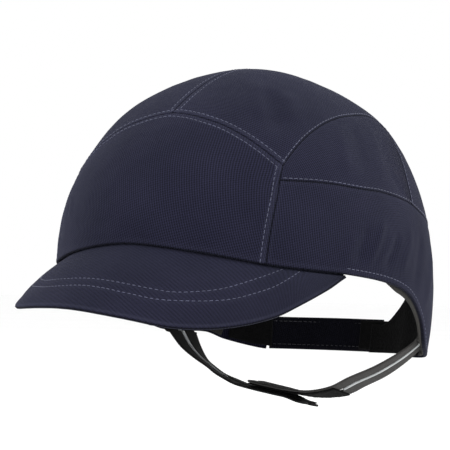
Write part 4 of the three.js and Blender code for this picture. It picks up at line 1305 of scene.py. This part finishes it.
def strap_rings(side, start, end, pitch):
    """The strap's frames from its sewn end, up inside the tail, to its free end."""
    count = int(abs(end - start) / pitch)
    x = np.linspace(start, end, count)
    centre, across, normal = strap_frame(x)
    if side == "right":
        peel = PEEL * smooth(0, 1, (x - (RIGHT_END_X - PEEL_LENGTH)) / PEEL_LENGTH) ** 1.5
        centre = centre - normal * peel[:, None]
    return centre, across, normal


def sewn_rings(side, first):
    """Frames that carry on from the strap's top, along the inside of the tail."""
    sign = 1 if side == "left" else -1
    centre, across, normal = (v[0] for v in first)
    bearing = sign * sum(ANCHOR_BEARINGS) / 2
    heights = np.linspace(-34, -46, 14)
    places = disc(np.full(14, bearing), heights)
    points = below_crown(places, np.full(14, ANCHOR[1] + 0.8))
    outward = crown_normal(places)
    tangent = unit(np.cross(np.array([0, 0, 1.0]), outward)) * -1
    tangent = tangent * np.sign((tangent @ across))[:, None]
    inward = -outward
    count = 12
    t = (np.arange(count) + 1) / (count + 1)
    ease = smooth(0, 1, t)[:, None]
    last, direction = points[-1], unit(points[-1] - points[-2])
    reach = np.linalg.norm(centre - last)
    bend = mix(last + direction * reach * 0.5, centre, 0.35)
    between = ((1 - t)[:, None] ** 2 * last + 2 * (t * (1 - t))[:, None] * bend
               + t[:, None] ** 2 * centre)
    return (np.concatenate([points, between]),
            np.concatenate([tangent, unit(mix(tangent[-1], across, ease))]),
            np.concatenate([inward, unit(mix(inward[-1], normal, ease))]))


def strap_strip(name, rings, span, heights, material, body, replaces, rib=0.08,
                fluff=0.0, start_mark=0.0):
    """A flat strip swept along strap frames: rounded edges, ribs across and a fluffy face."""
    centre, across, normal = rings
    low, high = heights
    half = (high - low) / 2
    w = np.concatenate([np.linspace(span[0], span[1], 12), np.linspace(span[1], span[0], 12)])
    middle, reach = (span[0] + span[1]) / 2, abs(span[1] - span[0]) / 2
    edge = np.sqrt(np.clip(1 - (np.abs(w - middle) / reach) ** 8, 0.02, 1))
    h = (low + high) / 2 + half * edge * np.concatenate([np.ones(12), -np.ones(12)])
    length = np.concatenate([[0], np.cumsum(np.linalg.norm(np.diff(centre, axis=0), axis=1))])
    ribs = rib * np.cos((length + start_mark) * 2 * math.pi / 1.6)[:, None]
    face = np.concatenate([np.ones(12), -np.ones(12)])[None] * (edge > 0.6)[None]
    points = (centre[:, None] + across[:, None] * w[None, :, None]
              + normal[:, None] * (h[None] + ribs * face)[..., None])
    if fluff:
        shift = (fluff * roughness(points, 0.9) * face)[..., None]
        points = points + normal[:, None] * shift
    count, around = points.shape[:2]
    weave = np.stack([np.broadcast_to(length[:, None], (count, around)),
                      np.broadcast_to(w[None], (count, around)), np.zeros((count, around))], -1)
    piece = make_piece(name, points, tube_faces(count, around), material, body, replaces,
                       {"weave": weave.reshape(-1, 3), "rubbing_and_shade": np.zeros(count * around)})
    return piece


BEAD_SIDES = 12
PIPING_SHOWN = 0.72  # radius of the bead that shows between the strips, in mm


def bead(name, rings, middle, material, body, replaces):
    """The round piping between the two strips of the strap."""
    centre, across, normal = rings
    angle = np.arange(BEAD_SIDES) / BEAD_SIDES * 2 * math.pi
    points = (centre[:, None] + across[:, None] * (PIPING_SHOWN * np.cos(angle))[None, :, None]
              + normal[:, None] * (middle + 1.5 * PIPING_SHOWN * np.sin(angle))[None, :, None])
    ends = np.ones(len(centre))
    ends[[0, -1]], ends[[1, -2]] = 0.35, 0.8
    points = mix((centre + normal * middle)[:, None], points, ends[:, None, None])
    faces = tube_faces(len(centre), BEAD_SIDES)
    return make_piece(name, points, faces, material, body, replaces)


def strap_half(side, top, end, piping_end, middle, cloth):
    """One half of the nape strap, from inside its tail to its free end."""
    body = f"nape_strap_{side}"
    pitch = 0.4
    free = strap_rings(side, top, end, pitch)
    sewn = sewn_rings(side, free)
    rings = [np.concatenate([a, b]) for a, b in zip(sewn, free)]
    inner, half = PIPING_SHOWN + 0.1, STRAP_WIDTH / 2
    heights = (middle - STRAP_THICKNESS / 2, middle + STRAP_THICKNESS / 2)
    made = [strap_strip(f"{body}_front_webbing", rings, (-half, -inner), heights, cloth,
                        None, ()),
            strap_strip(f"{body}_rear_webbing", rings, (inner, half), heights, cloth,
                        None, ())]
    count = len(sewn[0]) + int(abs(piping_end - top) / pitch)
    bead_rings = [r[:count] for r in rings]
    made.append(bead(f"{body}_piping_bead", bead_rings, middle, piping_beads,
                     None, ()))
    for piece, node in zip(made, ("front_strip", "rear_strip", "piping")):
        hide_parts(f"{body}_{node}")
        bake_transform(piece)
    return rings


def strap_patch(name, node, side, ends, heights, body, overhang=0.0):
    rings = strap_rings(side, ends[0], ends[1], 0.4)
    half = STRAP_WIDTH / 2 - 1 + overhang
    strap_strip(name, rings, (-half, half), heights, black_facing, body, [node],
                rib=0.0, fluff=0.3)


def strap_anchor(side):
    """The square of folded webbing that holds a strap's end inside its tail."""
    sign = 1 if side == "left" else -1
    ends = [sign * b for b in ANCHOR_BEARINGS]
    crown_strip(f"nape_strap_anchor_{side}_webbing", f"nape_strap_anchor_{side}",
                band_place(ends, ANCHOR_HEIGHTS), (21, 20), ANCHOR, dark_webbing,
                rib=0.08, steps=(0.3, 1.0))


def nape_strap():
    half_thick = STRAP_THICKNESS / 2
    loop_top = -half_thick - PATCH_GAP
    hook_top = loop_top - PATCH_THICKNESS - PATCH_GAP
    right_middle = hook_top - PATCH_THICKNESS - PATCH_GAP - half_thick
    strap_half("left", LEFT_TOP_X, LEFT_END_X, LEFT_PIPING_END_X, 0, webbing)
    strap_half("right", RIGHT_TOP_X, RIGHT_END_X, RIGHT_PIPING_END_X, right_middle,
               dark_webbing)
    strap_patch("nape_loop_pile", "nape_loop_patch", "left", LOOP_PATCH_X,
                (loop_top - PATCH_THICKNESS, loop_top + 0.3), "nape_strap_left")
    strap_patch("nape_hook_pile", "nape_hook_patch", "right", HOOK_PATCH_X,
                (hook_top - PATCH_THICKNESS - 0.2, hook_top), "nape_strap_right")
    for side in ("left", "right"):
        strap_anchor(side)


# ---- Camera, light and floor ---------------------------------------------------------------

AZIMUTH, ELEVATION, CAMERA_ROLL = 34, -2, 1.43  # degrees
CAMERA_DISTANCE, LENS = 1.1, 163
AIM_ASIDE, AIM_UP = -12.45, 0.3  # where the camera aims beside the crown's middle, in mm
CROWN_MIDDLE = Vector((0, 0, 0.010))


def camera():
    a, e = math.radians(AZIMUTH), math.radians(ELEVATION)
    back = Vector((math.sin(a) * math.cos(e), -math.cos(a) * math.cos(e), math.sin(e)))
    right = Vector((math.cos(a), math.sin(a), 0))
    up = back.cross(right)
    aim = CROWN_MIDDLE + right * AIM_ASIDE * MM + up * AIM_UP * MM
    data = bpy.data.cameras.new("camera")
    data.lens, data.sensor_width = LENS, 36
    data.clip_start, data.clip_end = 0.05, 100
    eye = bpy.data.objects.new("camera", data)
    eye.location = aim + back * CAMERA_DISTANCE
    turn = (-back).to_track_quat("-Z", "Y").to_matrix()
    eye.rotation_euler = (turn @ Matrix.Rotation(math.radians(CAMERA_ROLL), 3, "Z")).to_euler()
    bpy.context.scene.collection.objects.link(eye)
    bpy.context.scene.camera = eye


# Bearing in degrees, height and size in metres, and power in watts of each light
LIGHTS = {"key": (5, 0.95, 1.3, 34), "fill": (110, 0.8, 1.4, 24)}
LIGHT_REACH = 1.6  # how far out the lights stand, in metres


def area_light(name, bearing, height, size, power):
    data = bpy.data.lights.new(name, "AREA")
    data.size, data.energy = size, power
    lamp = bpy.data.objects.new(name, data)
    a = math.radians(bearing)
    lamp.location = Vector((math.sin(a), -math.cos(a), 0)) * LIGHT_REACH + Vector((0, 0, height))
    lamp.rotation_euler = (-lamp.location).to_track_quat("-Z", "Y").to_euler()
    bpy.context.scene.collection.objects.link(lamp)


FLOOR_DROP = 0.05  # the floor lies this far below the cap, to keep its shadow out of the view
FLOOR_REACH = 40.0  # in metres


def studio():
    world = bpy.data.worlds.new("studio")
    world.use_nodes = True
    background = world.node_tree.nodes["Background"]
    background.inputs["Color"].default_value = (1, 1, 1, 1)
    background.inputs["Strength"].default_value = 1.0
    bpy.context.scene.world = world
    for name, settings in LIGHTS.items():
        area_light(name, *settings)
    shader = Shader("floor", 0.9, 0.1)
    speck = shader.noise(shader.place(), 3.0)
    pale = shader.finish(shader.ramp(speck, 0.3, 0.7, (0.975, 0.975, 0.975), (0.995, 0.995, 0.995)))
    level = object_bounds()[0].z - FLOOR_DROP
    corners = [(x * FLOOR_REACH, y * FLOOR_REACH, level)
               for x, y in ((-1, -1), (1, -1), (1, 1), (-1, 1))]
    mesh = bpy.data.meshes.new("floor")
    mesh.from_pydata(corners, [], [(0, 1, 2, 3)])
    mesh.materials.append(pale)
    floor = bpy.data.objects.new("floor", mesh)
    bpy.context.scene.collection.objects.link(floor)
    floor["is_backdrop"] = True
    bpy.context.scene.view_settings.view_transform = "Standard"


camera()
crown_panels()
crown_stitching()
peak()
tapes()
closure()
inside()
nape_strap()
studio()
